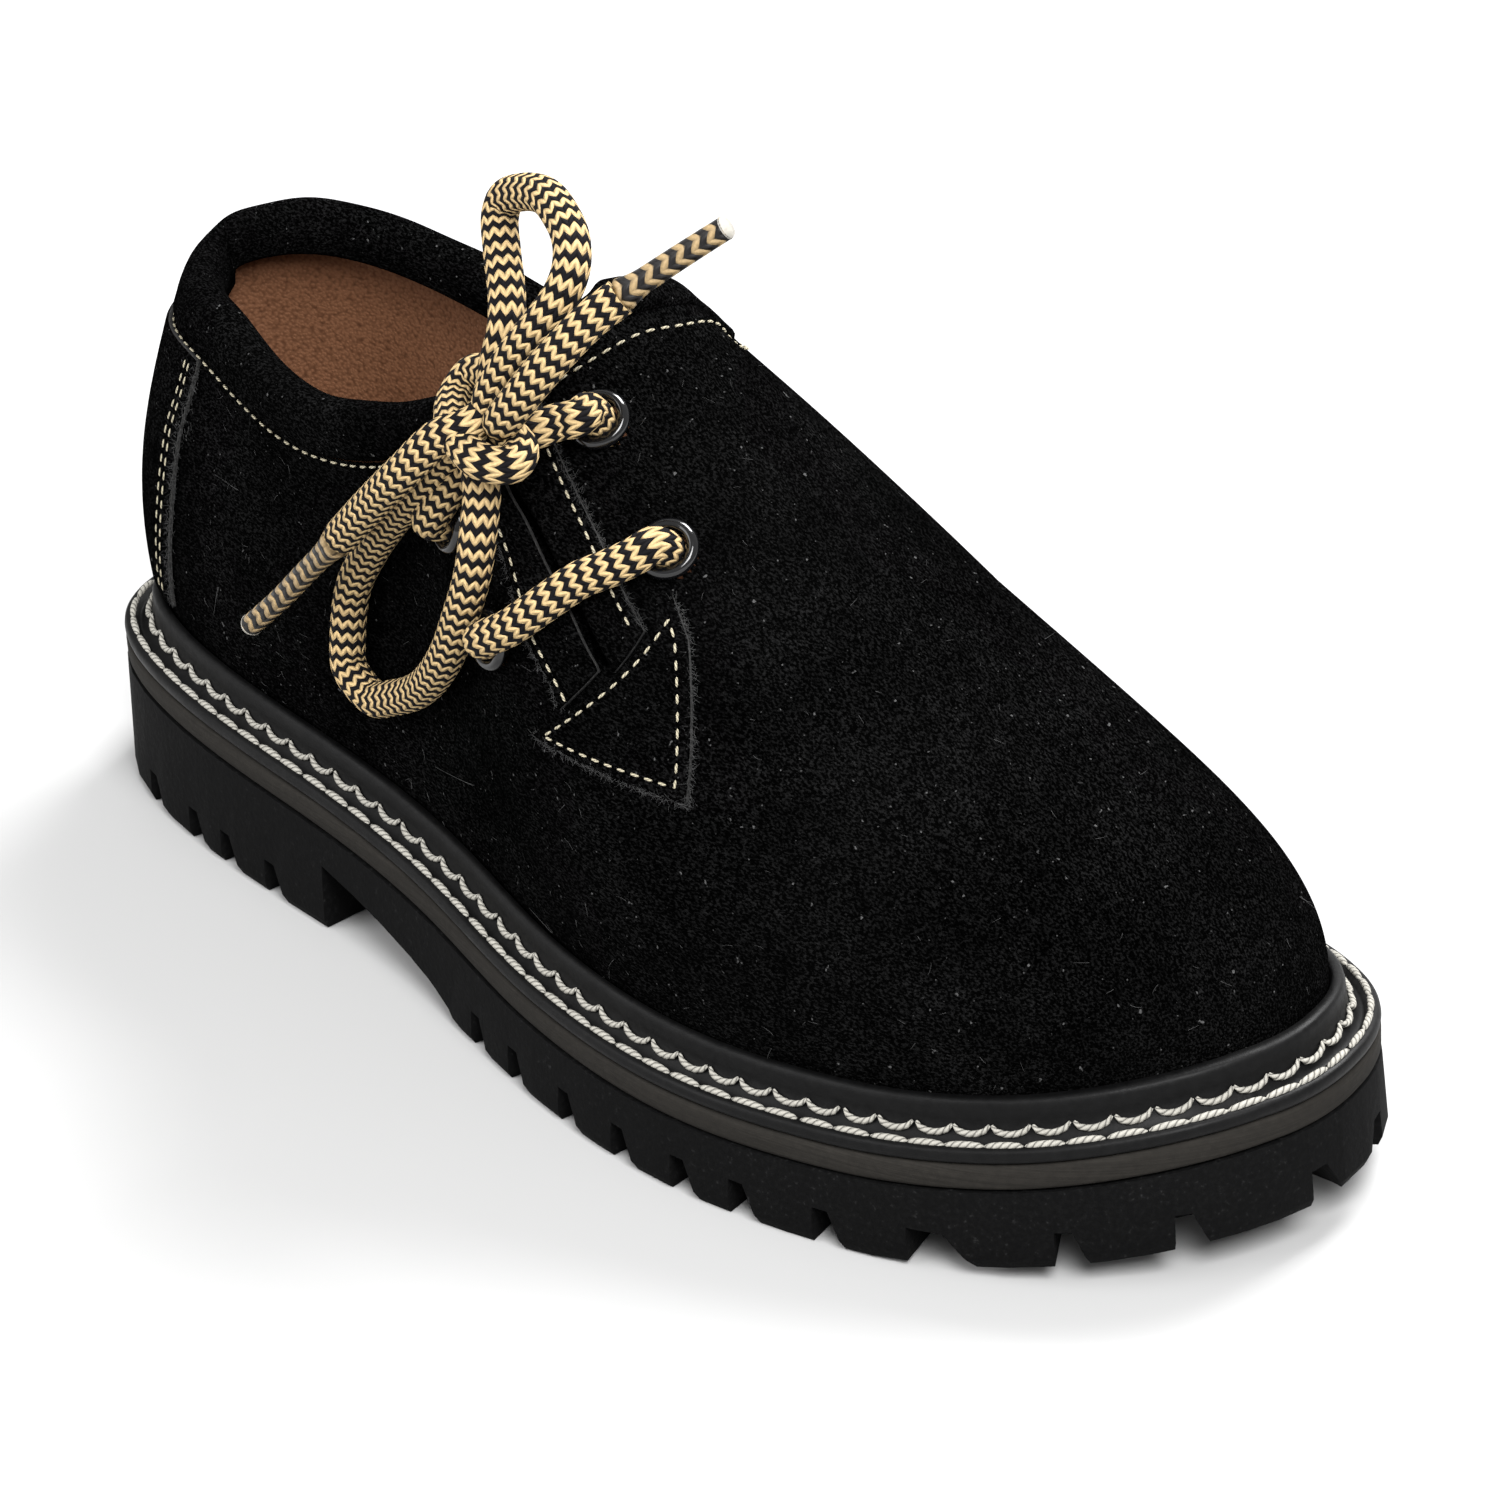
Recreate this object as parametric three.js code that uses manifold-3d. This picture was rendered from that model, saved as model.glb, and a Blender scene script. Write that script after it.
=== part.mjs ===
// Side-laced haferl shoe, right foot, standing empty on its sole.
// Millimetres. +X points to the toe, +Y to the inner (medial) side, +Z up.
// One table of rows round the foot gives the sole outline, the line where the
// collar is sewn on, and the handles of the curve that joins them. Every piece
// is cut from the functions made of it.
import * as THREE from 'three';
import Module from 'manifold-3d';

const wasm = await Module();
wasm.setup();
const { Manifold, Mesh: SolidMesh } = wasm;

// ---------------------------------------------------------------- named sizes
const LENGTH = 240;          // outsole, heel back to toe tip
const BALL = 92;             // width across the ball
const INSTEP = 107;          // height of the instep crest at the collar seam
const GAP = 0.3;             // space left between curved pieces
const WALL = 2.0;            // suede and lining together
const MIDSOLE = 4.3;         // grey band
const WELT = { margin: 5.0, shelf: 2.4, rim: 7.4 };
const FEATHER = { inset: 8.0, rise: 2.0, tuck: 1.5 };
const FLARE = 0.8;           // outsole side leans out toward the ground
const NOTCH = { high: 5.8, deep: 9, rear: 2.5, front: 5.2 };
const TREAD = { groove: [11, 15.5], deep: 3.6, cross: 3.0, bar: 3.4 };
const LACE = 5.0;            // lace thickness used for the solid strands
const AGLET = { d: 3.4 };

// rows run heel back, outer side, toe, inner side
// edgeX, edgeY, seamX: share of LENGTH. seamY: share of BALL.
// seamZ and the handles: share of INSTEP.
const ROWS = [
// edgeX  edgeY   seamX  seamY   seamZ  footOut footUp seamOut seamDown
  [0.010, -0.002, 0.031,  0.018, 0.726, 0.030, 0.207,  0.021, 0.172],
  [0.032, -0.082, 0.069, -0.105, 0.730, 0.033, 0.198,  0.060, 0.172],
  [0.121, -0.122, 0.131, -0.168, 0.726, 0.040, 0.170,  0.021, 0.152],
  [0.249, -0.136, 0.232, -0.223, 0.700, 0.038, 0.150, -0.019, 0.129],
  [0.397, -0.146, 0.334, -0.231, 0.735, 0.037, 0.159, -0.025, 0.146],
  [0.537, -0.174, 0.409, -0.224, 0.827, 0.047, 0.178,  0.062, 0.186],
  [0.676, -0.185, 0.451, -0.185, 0.904, 0.047, 0.196,  0.205, 0.224],
  [0.799, -0.162, 0.471, -0.130, 0.949, 0.047, 0.205,  0.338, 0.261],
  [0.904, -0.117, 0.483, -0.065, 0.984, 0.046, 0.213,  0.451, 0.316],
  [0.978, -0.043, 0.489, -0.001, 1.002, 0.047, 0.215,  0.565, 0.373],
  [1.006,  0.041, 0.491,  0.062, 0.995, 0.049, 0.222,  0.639, 0.420],
  [0.980,  0.123, 0.487,  0.131, 0.973, 0.056, 0.265,  0.612, 0.448],
  [0.905,  0.175, 0.482,  0.182, 0.925, 0.053, 0.249,  0.482, 0.417],
  [0.802,  0.195, 0.469,  0.250, 0.870, 0.047, 0.203,  0.302, 0.345],
  [0.700,  0.196, 0.428,  0.280, 0.838, 0.037, 0.184,  0.232, 0.236],
  [0.560,  0.155, 0.376,  0.278, 0.774, 0.028, 0.167,  0.109, 0.165],
  [0.420,  0.119, 0.291,  0.290, 0.744, 0.028, 0.159,  0.029, 0.126],
  [0.251,  0.124, 0.186,  0.284, 0.766, 0.037, 0.159,  0.032, 0.145],
  [0.124,  0.126, 0.098,  0.216, 0.782, 0.037, 0.178,  0.028, 0.166],
  [0.037,  0.079, 0.045,  0.114, 0.763, 0.028, 0.196,  0.018, 0.169],
];
const UNIT = [LENGTH, LENGTH, LENGTH, BALL, INSTEP, INSTEP, INSTEP, INSTEP, INSTEP];

// side view of the sole: share of length, height of the band's lower edge, height of the lugs
const SIDE = [
  [0.00, 21.4, 0], [0.12, 19.6, 0], [0.28, 17.8, 0], [0.42, 14.8, 0],
  [0.55, 12.3, 0], [0.70, 11.6, 0], [0.80, 12.2, 0], [0.90, 14.6, 2.2], [1.00, 18.9, 6.0],
];
// underside of the waist, from the heel breast forward: share of length, height
const ARCH = [[0.304, 11.2], [0.340, 9.3], [0.390, 6.4], [0.425, 4.5], [0.450, 2.4], [0.466, -1]];
// side notches, share round the outline; the last column is the notch width over the usual one
const NOTCHES = [
  [0.0750, 1], [0.1000, 1], [0.1167, 1], [0.1375, 1],
  [0.2312, 1], [0.2500, 1], [0.2729, 1], [0.2938, 1], [0.3146, 1], [0.3333, 1], [0.3583, 1],
  [0.3850, 2.2], [0.4245, 1], [0.4562, 1], [0.4990, 1.2], [0.5375, 1],
  [0.5680, 1], [0.5980, 2.2], [0.6280, 1], [0.6520, 1], [0.6760, 1], [0.7000, 1], [0.7240, 1], [0.7480, 1],
  [0.8560, 1], [0.8790, 1], [0.9020, 1], [0.9250, 1],
];

// ---------------------------------------------------------------- curves
const sub = (a, b) => a.map((v, i) => v - b[i]);
const add = (a, b, k = 1) => a.map((v, i) => v + b[i] * k);
const dot = (a, b) => a.reduce((s, v, i) => s + v * b[i], 0);
const cross = (a, b) => [a[1] * b[2] - a[2] * b[1], a[2] * b[0] - a[0] * b[2], a[0] * b[1] - a[1] * b[0]];
const unit = (a) => { const l = Math.hypot(...a); return a.map((v) => v / l); };
const lerp = (a, b, s) => a + (b - a) * s;

// closed cubic through the rows, knots spaced by the square root of the outline steps
function closedCurve(knots, values) {
  const n = values.length, m = values[0].length;
  const h = (i) => { const k = ((i % n) + n) % n; return knots[k + 1] - knots[k]; };
  const v = (i) => values[((i % n) + n) % n];
  const A = [...Array(n)].map((_, i) => {
    const row = new Array(n + m).fill(0);
    row[(i + n - 1) % n] += h(i - 1); row[i] += 2 * (h(i - 1) + h(i)); row[(i + 1) % n] += h(i);
    for (let c = 0; c < m; c++) row[n + c] = 6 * ((v(i + 1)[c] - v(i)[c]) / h(i) - (v(i)[c] - v(i - 1)[c]) / h(i - 1));
    return row;
  });
  for (let i = 0; i < n; i++) {
    let p = i;
    for (let r = i + 1; r < n; r++) if (Math.abs(A[r][i]) > Math.abs(A[p][i])) p = r;
    [A[i], A[p]] = [A[p], A[i]];
    for (let r = 0; r < n; r++) {
      if (r === i) continue;
      const f = A[r][i] / A[i][i];
      if (f) for (let c = i; c < n + m; c++) A[r][c] -= f * A[i][c];
    }
  }
  const M = A.map((row, i) => row.slice(n).map((x) => x / row[i]));
  return (u, slope = false) => {
    u -= Math.floor(u);
    let i = 0;
    while (i < n - 1 && knots[i + 1] <= u) i++;
    const j = (i + 1) % n, d = knots[i + 1] - knots[i], a = knots[i + 1] - u, b = u - knots[i];
    return values[i].map((vi, c) => {
      const p = vi / d - (M[i][c] * d) / 6, q = values[j][c] / d - (M[j][c] * d) / 6;
      return slope
        ? (-M[i][c] * a * a + M[j][c] * b * b) / (2 * d) - p + q
        : (M[i][c] * a ** 3 + M[j][c] * b ** 3) / (6 * d) + p * a + q * b;
    });
  };
}
const knots = [0];
ROWS.forEach((r, i) => {
  const s = ROWS[(i + 1) % ROWS.length];
  knots.push(knots[i] + Math.sqrt(Math.hypot(s[0] - r[0], s[1] - r[1])));
});
const total = knots[knots.length - 1];
const rowCurve = closedCurve(knots.map((k) => k / total), ROWS.map((r) => r.map((v, c) => v * UNIT[c])));

// open curve with no overshoot through short tables
function openCurve(table, col) {
  const x = table.map((r) => r[0]), y = table.map((r) => r[col]), n = x.length;
  const s = x.slice(1).map((v, i) => (y[i + 1] - y[i]) / (v - x[i]));
  const g = x.map((_, i) => {
    if (i === 0) return s[0];
    if (i === n - 1) return s[n - 2];
    return s[i - 1] * s[i] <= 0 ? 0 : (2 * s[i - 1] * s[i]) / (s[i - 1] + s[i]);
  });
  return (t) => {
    t = Math.min(Math.max(t, x[0]), x[n - 1]);
    let i = 0;
    while (i < n - 2 && x[i + 1] < t) i++;
    const h = x[i + 1] - x[i], q = (t - x[i]) / h;
    return y[i] * (1 + 2 * q) * (1 - q) ** 2 + g[i] * h * q * (1 - q) ** 2
      + y[i + 1] * q * q * (3 - 2 * q) + g[i + 1] * h * q * q * (q - 1);
  };
}
const bandLow = openCurve(SIDE, 1), lugLow = openCurve(SIDE, 2);

// outermost edge of the sole at u, its outward direction, and the shares of length there
function edge(u) {
  const [x, y] = rowCurve(u), [dx, dy] = rowCurve(u, true);
  const l = Math.hypot(dx, dy);
  return { p: [x, y], n: [dy / l, -dx / l], s: x / LENGTH };
}
// a point a given way in from the edge; rise is a function of the share of length
function edgePoint(u, inset, rise) {
  const e = edge(u);
  return [e.p[0] - e.n[0] * inset, e.p[1] - e.n[1] * inset, rise(e.s)];
}
const bandTop = (s) => bandLow(s) + MIDSOLE;

// outside of the upper: u round the foot, t from the feather line to the collar seam
function skin(u, t) {
  const r = rowCurve(u), d = rowCurve(u, true);
  const foot = edgePoint(u, FEATHER.inset, (s) => bandTop(s) + FEATHER.rise);
  const e = edge(u), l = Math.hypot(d[2], d[3]);
  const seam = [r[2], r[3], r[4]], out = [d[3] / l, -d[2] / l];
  const h1 = [foot[0] + e.n[0] * r[5], foot[1] + e.n[1] * r[5], foot[2] + r[6]];
  const h2 = [seam[0] + out[0] * r[7], seam[1] + out[1] * r[7], seam[2] - r[8]];
  const a = (1 - t) ** 3, b = 3 * (1 - t) ** 2 * t, c = 3 * (1 - t) * t * t, f = t ** 3;
  return [0, 1, 2].map((k) => a * foot[k] + b * h1[k] + c * h2[k] + f * seam[k]);
}
function skinFrame(u, t) {
  const k = 0.002, t0 = Math.max(t - k, 0), t1 = Math.min(t + k, 1);
  const along = unit(sub(skin(u + k, t), skin(u - k, t)));
  const up = unit(sub(skin(u, t1), skin(u, t0)));
  return { along, up, n: unit(cross(along, up)) };
}
// a point lifted off the outside of the upper; a negative lift is inside
function lifted(u, t, lift) { return add(skin(u, t), skinFrame(u, t).n, lift); }
// how far in from the sole edge the skin stands at a height above the feather line
function skinInset(u, rise) {
  const e = edge(u), z = bandTop(e.s) + FEATHER.rise + rise;
  let lo = 0, hi = 0.5;
  for (let i = 0; i < 24; i++) { const m = (lo + hi) / 2; if (skin(u, m)[2] < z) lo = m; else hi = m; }
  const p = skin(u, lo);
  return (e.p[0] - p[0]) * e.n[0] + (e.p[1] - p[1]) * e.n[1];
}

// ---------------------------------------------------------------- solids
function solid(points, tris) {
  let vol = 0;
  for (const [a, b, c] of tris) vol += dot(points[a], cross(points[b], points[c]));
  const flat = tris.flatMap(([a, b, c]) => (vol > 0 ? [a, b, c] : [a, c, b]));
  const m = new Manifold(new SolidMesh({
    numProp: 3, vertProperties: Float32Array.from(points.flat()), triVerts: Uint32Array.from(flat),
  }));
  return m;
}
// rings of equal count stacked from low to high, closed by ladders across the foot
function stack(rings) {
  const n = rings[0].length, pts = rings.flat(), tris = [];
  for (let k = 0; k < rings.length - 1; k++) for (let i = 0; i < n; i++) {
    const a = k * n + i, b = k * n + ((i + 1) % n);
    tris.push([a, b, b + n], [a, b + n, a + n]);
  }
  const top = (rings.length - 1) * n;
  const cap = (o, flip) => {
    const put = (a, b, c) => tris.push(flip ? [o + a, o + c, o + b] : [o + a, o + b, o + c]);
    put(0, 1, n - 1);
    for (let i = 1; i < n / 2 - 1; i++) { put(i, i + 1, n - i - 1); put(i, n - i - 1, n - i); }
    put(n / 2 - 1, n / 2, n / 2 + 1);
  };
  cap(0, true); cap(top, false);
  return solid(pts, tris);
}
// closed sections, swept in a closed or an open run
function sweep(sections, closed) {
  const m = sections[0].length, n = sections.length, pts = sections.flat(), tris = [];
  for (let i = 0; i < (closed ? n : n - 1); i++) for (let j = 0; j < m; j++) {
    const a = i * m + j, b = i * m + ((j + 1) % m), c = ((i + 1) % n) * m + ((j + 1) % m), d = ((i + 1) % n) * m + j;
    tris.push([a, b, c], [a, c, d]);
  }
  if (!closed) for (const [o, flip] of [[0, true], [(n - 1) * m, false]]) {
    const mid = pts.length, s = pts.slice(o, o + m);
    pts.push([0, 1, 2].map((k) => s.reduce((t, p) => t + p[k], 0) / m));
    for (let j = 0; j < m; j++) tris.push(flip ? [mid, o + ((j + 1) % m), o + j] : [mid, o + j, o + ((j + 1) % m)]);
  }
  return solid(pts, tris);
}
// a sheet given by a grid of (u, t), standing between two lifts off the skin
function sheet(grid, low, high) {
  const rows = grid.length, cols = grid[0].length;
  const face = (lift) => grid.map((r) => r.map(([u, t]) => lifted(u, t, lift)));
  const A = face(low), B = face(high), pts = [...A.flat(), ...B.flat()], tris = [], o = rows * cols;
  for (let i = 0; i < rows - 1; i++) for (let j = 0; j < cols - 1; j++) {
    const a = i * cols + j, b = a + 1, c = a + cols + 1, d = a + cols;
    tris.push([a, c, b], [a, d, c], [o + a, o + b, o + c], [o + a, o + c, o + d]);
  }
  const rim = [];
  for (let j = 0; j < cols - 1; j++) rim.push(j);
  for (let i = 0; i < rows - 1; i++) rim.push(i * cols + cols - 1);
  for (let j = cols - 1; j > 0; j--) rim.push((rows - 1) * cols + j);
  for (let i = rows - 1; i > 0; i--) rim.push(i * cols);
  rim.forEach((a, k) => { const b = rim[(k + 1) % rim.length]; tris.push([a, b, o + b], [a, o + b, o + a]); });
  return solid(pts, tris);
}
const ring = (n, f) => [...Array(n)].map((_, i) => f(i / n));
const edgeRing = (n, inset, rise) => ring(n, (u) => edgePoint(u, inset, rise));
// upright prism on a plan polygon, or one lying across the foot on an x-z polygon
const prism = (poly, z0, z1) => sweep([z0, z1].map((z) => poly.map(([x, y]) => [x, y, z])), false);
const prismAcross = (poly, y0, y1) => sweep([y0, y1].map((y) => poly.map(([x, z]) => [x, y, z])), false);
function tube(path, radius, sides = 8) {
  let side = null;
  const sections = path.map((p, i) => {
    const dir = unit(sub(path[Math.min(i + 1, path.length - 1)], path[Math.max(i - 1, 0)]));
    if (!side) side = unit(cross(dir, Math.abs(dir[2]) < 0.9 ? [0, 0, 1] : [1, 0, 0]));
    side = unit(add(side, dir, -dot(side, dir)));
    const other = cross(dir, side);
    return [...Array(sides)].map((_, k) => {
      const a = (2 * Math.PI * k) / sides;
      return add(add(p, side, Math.cos(a) * radius), other, Math.sin(a) * radius);
    });
  });
  return sweep(sections, false);
}
// smooth run through a few control points
function route(points, steps) {
  const curve = new THREE.CatmullRomCurve3(points.map((p) => new THREE.Vector3(...p)), false, 'centripetal');
  return curve.getSpacedPoints(steps).map((v) => [v.x, v.y, v.z]);
}

// ---------------------------------------------------------------- sole
const N = 80;
function outsole() {
  let body = stack([
    edgeRing(N, 0.6 - FLARE, lugLow),
    edgeRing(N, -FLARE, (s) => lugLow(s) + 1.4),
    edgeRing(N, 0, (s) => bandLow(s) - GAP / 2),
  ]);
  const archPoly = [...ARCH.map(([s, z]) => [s * LENGTH, z]), [ARCH[0][0] * LENGTH, -1]];
  const cuts = [prismAcross(archPoly, -BALL, BALL)];
  for (const [u, w] of NOTCHES) {
    const e = edge(u), z = lugLow(e.s), t = [-e.n[1], e.n[0]];
    const heelward = t[0] < 0 ? -1 : 1;               // the upright wall is the one nearer the heel
    const at = (a, d, h) => [e.p[0] + t[0] * a * heelward - e.n[0] * d, e.p[1] + t[1] * a * heelward - e.n[1] * d, h];
    const shape = (d) => [
      at(0, d, z - 3), at(0, d, z + NOTCH.high), at(NOTCH.rear * w, d, z + NOTCH.high),
      at(NOTCH.front * w, d, z), at(NOTCH.front * w, d, z - 3)];
    cuts.push(sweep([shape(-3), shape(NOTCH.deep)], false));
  }
  // a groove inside the side lugs, and bars across the island it leaves
  const island = (inset, lift) => stack([edgeRing(48, inset, () => -3), edgeRing(48, inset, (s) => lugLow(s) + lift)]);
  const track = island(TREAD.groove[0], TREAD.deep).subtract(island(TREAD.groove[1], TREAD.deep + 3));
  const span = (a, b) => prism([[a * LENGTH, -BALL], [b * LENGTH, -BALL], [b * LENGTH, BALL], [a * LENGTH, BALL]], -5, 30);
  cuts.push(track.intersect(span(0.49, 1.1)), track.intersect(span(-0.1, 0.285)));
  const core = island(TREAD.groove[1] - 1, 12);
  for (const s of [0.10, 0.17, 0.24, 0.54, 0.60, 0.66, 0.72, 0.78, 0.84, 0.90]) {
    const x = s * LENGTH, k = 0.18 * BALL, w = TREAD.bar / 2, z = lugLow(s) + TREAD.cross;
    cuts.push(prism([[x - w - 3, -k * 2], [x - w + 3, 0], [x - w - 3, k * 2], [x + w - 3, k * 2], [x + w + 3, 0], [x + w - 3, -k * 2]], -5, z).intersect(core));
  }
  for (const c of cuts) body = body.subtract(c);
  return body.simplify(0.03);
}
const midsole = () => stack([
  edgeRing(N, 0.15, (s) => bandLow(s) + GAP / 2), edgeRing(N, 0.15, (s) => bandTop(s) - GAP / 2)]);

// storm welt: flat shelf with a raised rim standing against the suede
function welt() {
  return sweep(ring(66, (u) => {
    const { s } = edge(u), z = bandTop(s), top = WELT.rim, in1 = skinInset(u, top - FEATHER.rise) - GAP - 0.1;
    const pts = [[0.5, 0.15], [0.2, 0.7], [0.2, 1.8], [0.7, WELT.shelf], [WELT.margin - 0.3, WELT.shelf],
      [WELT.margin, WELT.shelf + 0.3], [WELT.margin + 0.1, top - 0.5], [WELT.margin + 0.5, top], [in1, top],
      [FEATHER.inset - GAP - 0.1, FEATHER.rise], [FEATHER.inset - GAP - 0.1, 0.15]];
    return pts.map(([inset, h]) => edgePoint(u, inset, () => z + h));
  }), true);
}
const insole = () => stack([
  edgeRing(56, FEATHER.inset + WALL + 0.6, (s) => bandTop(s) + 0.15),
  edgeRing(56, FEATHER.inset + WALL + 0.6, (s) => bandTop(s) + 3.2)]);

// ---------------------------------------------------------------- upper
// lacing slit: t, u of its middle line, and the outer edges of the two facing strips
const SLIT = [[0.650, 0.3417], [0.675, 0.3396], [0.713, 0.3375], [0.775, 0.3312], [0.825, 0.3250], [0.863, 0.3167], [0.950, 0.3021], [1.000, 0.2960]];
const STRIP_FRONT = [[0.700, 0.3665], [0.750, 0.3635], [0.800, 0.3615], [0.850, 0.3570], [0.912, 0.3500], [0.985, 0.3380]];
const STRIP_REAR = [[0.600, 0.3135], [0.640, 0.3100], [0.675, 0.3065], [0.762, 0.3045], [0.850, 0.2940], [0.900, 0.2850], [0.985, 0.2700]];
const slitAt = openCurve(SLIT, 1), frontAt = openCurve(STRIP_FRONT, 1), rearAt = openCurve(STRIP_REAR, 1);
// eyelets as u, t
const EYELETS = { front_upper: [0.3875, 0.925], front_lower: [0.3958, 0.787], rear_upper: [0.2625, 0.825], rear_lower: [0.2833, 0.650] };

const TS = [0, 0.05, 0.11, 0.19, 0.29, 0.41, 0.54, 0.67, 0.79, 0.90, 1];
function upper() {
  let body = sweep(ring(70, (u) => {
    const down = (p) => [p[0], p[1], p[2] - FEATHER.tuck];
    const out = TS.map((t) => lifted(u, t, 0)), inn = TS.map((t) => lifted(u, t, -WALL)).reverse();
    return [down(out[0]), ...out, ...inn, down(inn[inn.length - 1])];
  }), true);
  const cutT = [0.655, 0.70, 0.75, 0.80, 0.85, 0.90, 0.95, 1.02];
  body = body.subtract(sweep(cutT.map((t) => {
    const v = Math.min(t, 1), u = slitAt(v), f = skinFrame(u, v), p = add(skin(u, v), f.up, (t - v) * 100);
    const w = 0.4 + 1.1 * (v - cutT[0]);
    return [[-w, 4], [w, 4], [w, -WALL - 3], [-w, -WALL - 3]].map(([a, b]) => add(add(p, f.along, a), f.n, b));
  }), false));
  for (const [u, t] of Object.values(EYELETS)) body = body.subtract(disc(u, t, [[3.6, -WALL - 4], [3.6, 4]], 12));
  return body.simplify(0.02);
}
// turned shape standing on the skin; profile is radius and lift, closed on the axis
function disc(u, t, profile, sides) {
  const p = skin(u, t), f = skinFrame(u, t), b = cross(f.n, f.along);
  return sweep(profile.map(([r, h]) => [...Array(sides)].map((_, k) => {
    const a = (2 * Math.PI * k) / sides;
    return add(add(add(p, f.n, h), f.along, r * Math.cos(a)), b, r * Math.sin(a));
  })), false);
}
function eyelet([u, t]) {
  const p = skin(u, t), f = skinFrame(u, t), b = cross(f.n, f.along), sides = 12;
  const profile = [[4.5, 0.35], [4.4, 1.1], [3.6, 1.45], [2.85, 1.0], [2.85, -WALL - 0.05], [3.25, -WALL - 0.05], [3.25, 0.35]];
  return sweep([...Array(sides)].map((_, k) => {
    const a = (2 * Math.PI * k) / sides, d = add(f.along.map((v) => v * Math.cos(a)), b, Math.sin(a));
    return profile.map(([r, h]) => add(add(p, f.n, h), d, r));
  }), true);
}
// padded collar, standing on the seam and open where the slit comes up
const ROLL = [[0.3, 0.0], [2.6, -0.7], [5.6, -0.2], [7.7, 1.6], [8.3, 3.6], [7.4, 5.6], [5.0, 6.9], [2.2, 7.0], [0.3, 6.2]];
function collar() {
  const u0 = slitAt(1) + 0.006, u1 = 1 + slitAt(1) - 0.006, n = 54;
  return sweep([...Array(n + 1)].map((_, i) => {
    const u = lerp(u0, u1, i / n), p = skin(u, 1), f = skinFrame(u, 1);
    return ROLL.map(([s, d]) => add(add(p, f.up, s), f.n, -d));
  }), false);
}
const span = (a, b, n) => [...Array(n + 1)].map((_, i) => lerp(a, b, i / n));
const PLY = [GAP, GAP + 1.2];
// back stay over the heel, its two edges as t, u
const STAY = [[0.14, 0.0770], [0.45, 0.0785], [0.70, 0.0780], [0.85, 0.0820], [0.97, 0.0860]];
const stayAt = openCurve(STAY, 1);
const heelStay = () => sheet(span(0.14, 0.97, 7).map((t) => span(-1, 1, 12).map((k) => [k * stayAt(t), t])), ...PLY);
const facingFront = () => sheet(span(0, 1, 9).map((k) => {
  const a = lerp(0.985, 0.660, k), b = lerp(0.985, 0.712, k), u0 = slitAt(a) + 0.0045, u1 = frontAt(b);
  return span(0, 1, 2).map((q) => [lerp(u0, u1, q), lerp(a, b, q)]);
}), ...PLY);
const facingRear = () => sheet(span(0, 1, 9).map((k) => {
  const a = lerp(0.985, 0.652, k), b = lerp(0.985, 0.604, k), u1 = slitAt(a) - 0.0045, u0 = rearAt(b);
  return span(0, 1, 2).map((q) => [lerp(u0, u1, q), lerp(b, a, q)]);
}), ...PLY);
// corner patch below the slit: heel-side, top, front and bottom corners as u, t
const PATCH = [[0.2938, 0.525], [0.3875, 0.738], [0.3850, 0.690], [0.3521, 0.487]];
const patch = () => sheet(span(0, 1, 5).map((r) => span(0, 1, 6).map((s) => [0, 1].map((c) =>
  lerp(lerp(PATCH[0][c], PATCH[1][c], s), lerp(PATCH[3][c], PATCH[2][c], s), r)))), ...PLY);
const tongue = () => sheet(span(0.60, 0.97, 7).map((t) => span(0.268, 0.392, 10).map((u) => [u, t])), -WALL - GAP - 0.1 - 1.6, -WALL - GAP - 0.1);

// ---------------------------------------------------------------- lace
// the bar between the lower eyelets, as u, t, lift
const BAR = [[0.3925, 0.785, 4.6], [0.3810, 0.775, 4.6], [0.3650, 0.762, 4.6], [0.3500, 0.750, 4.6], [0.3330, 0.725, 4.6], [0.3100, 0.685, 4.6], [0.2890, 0.657, 4.6]];
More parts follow.
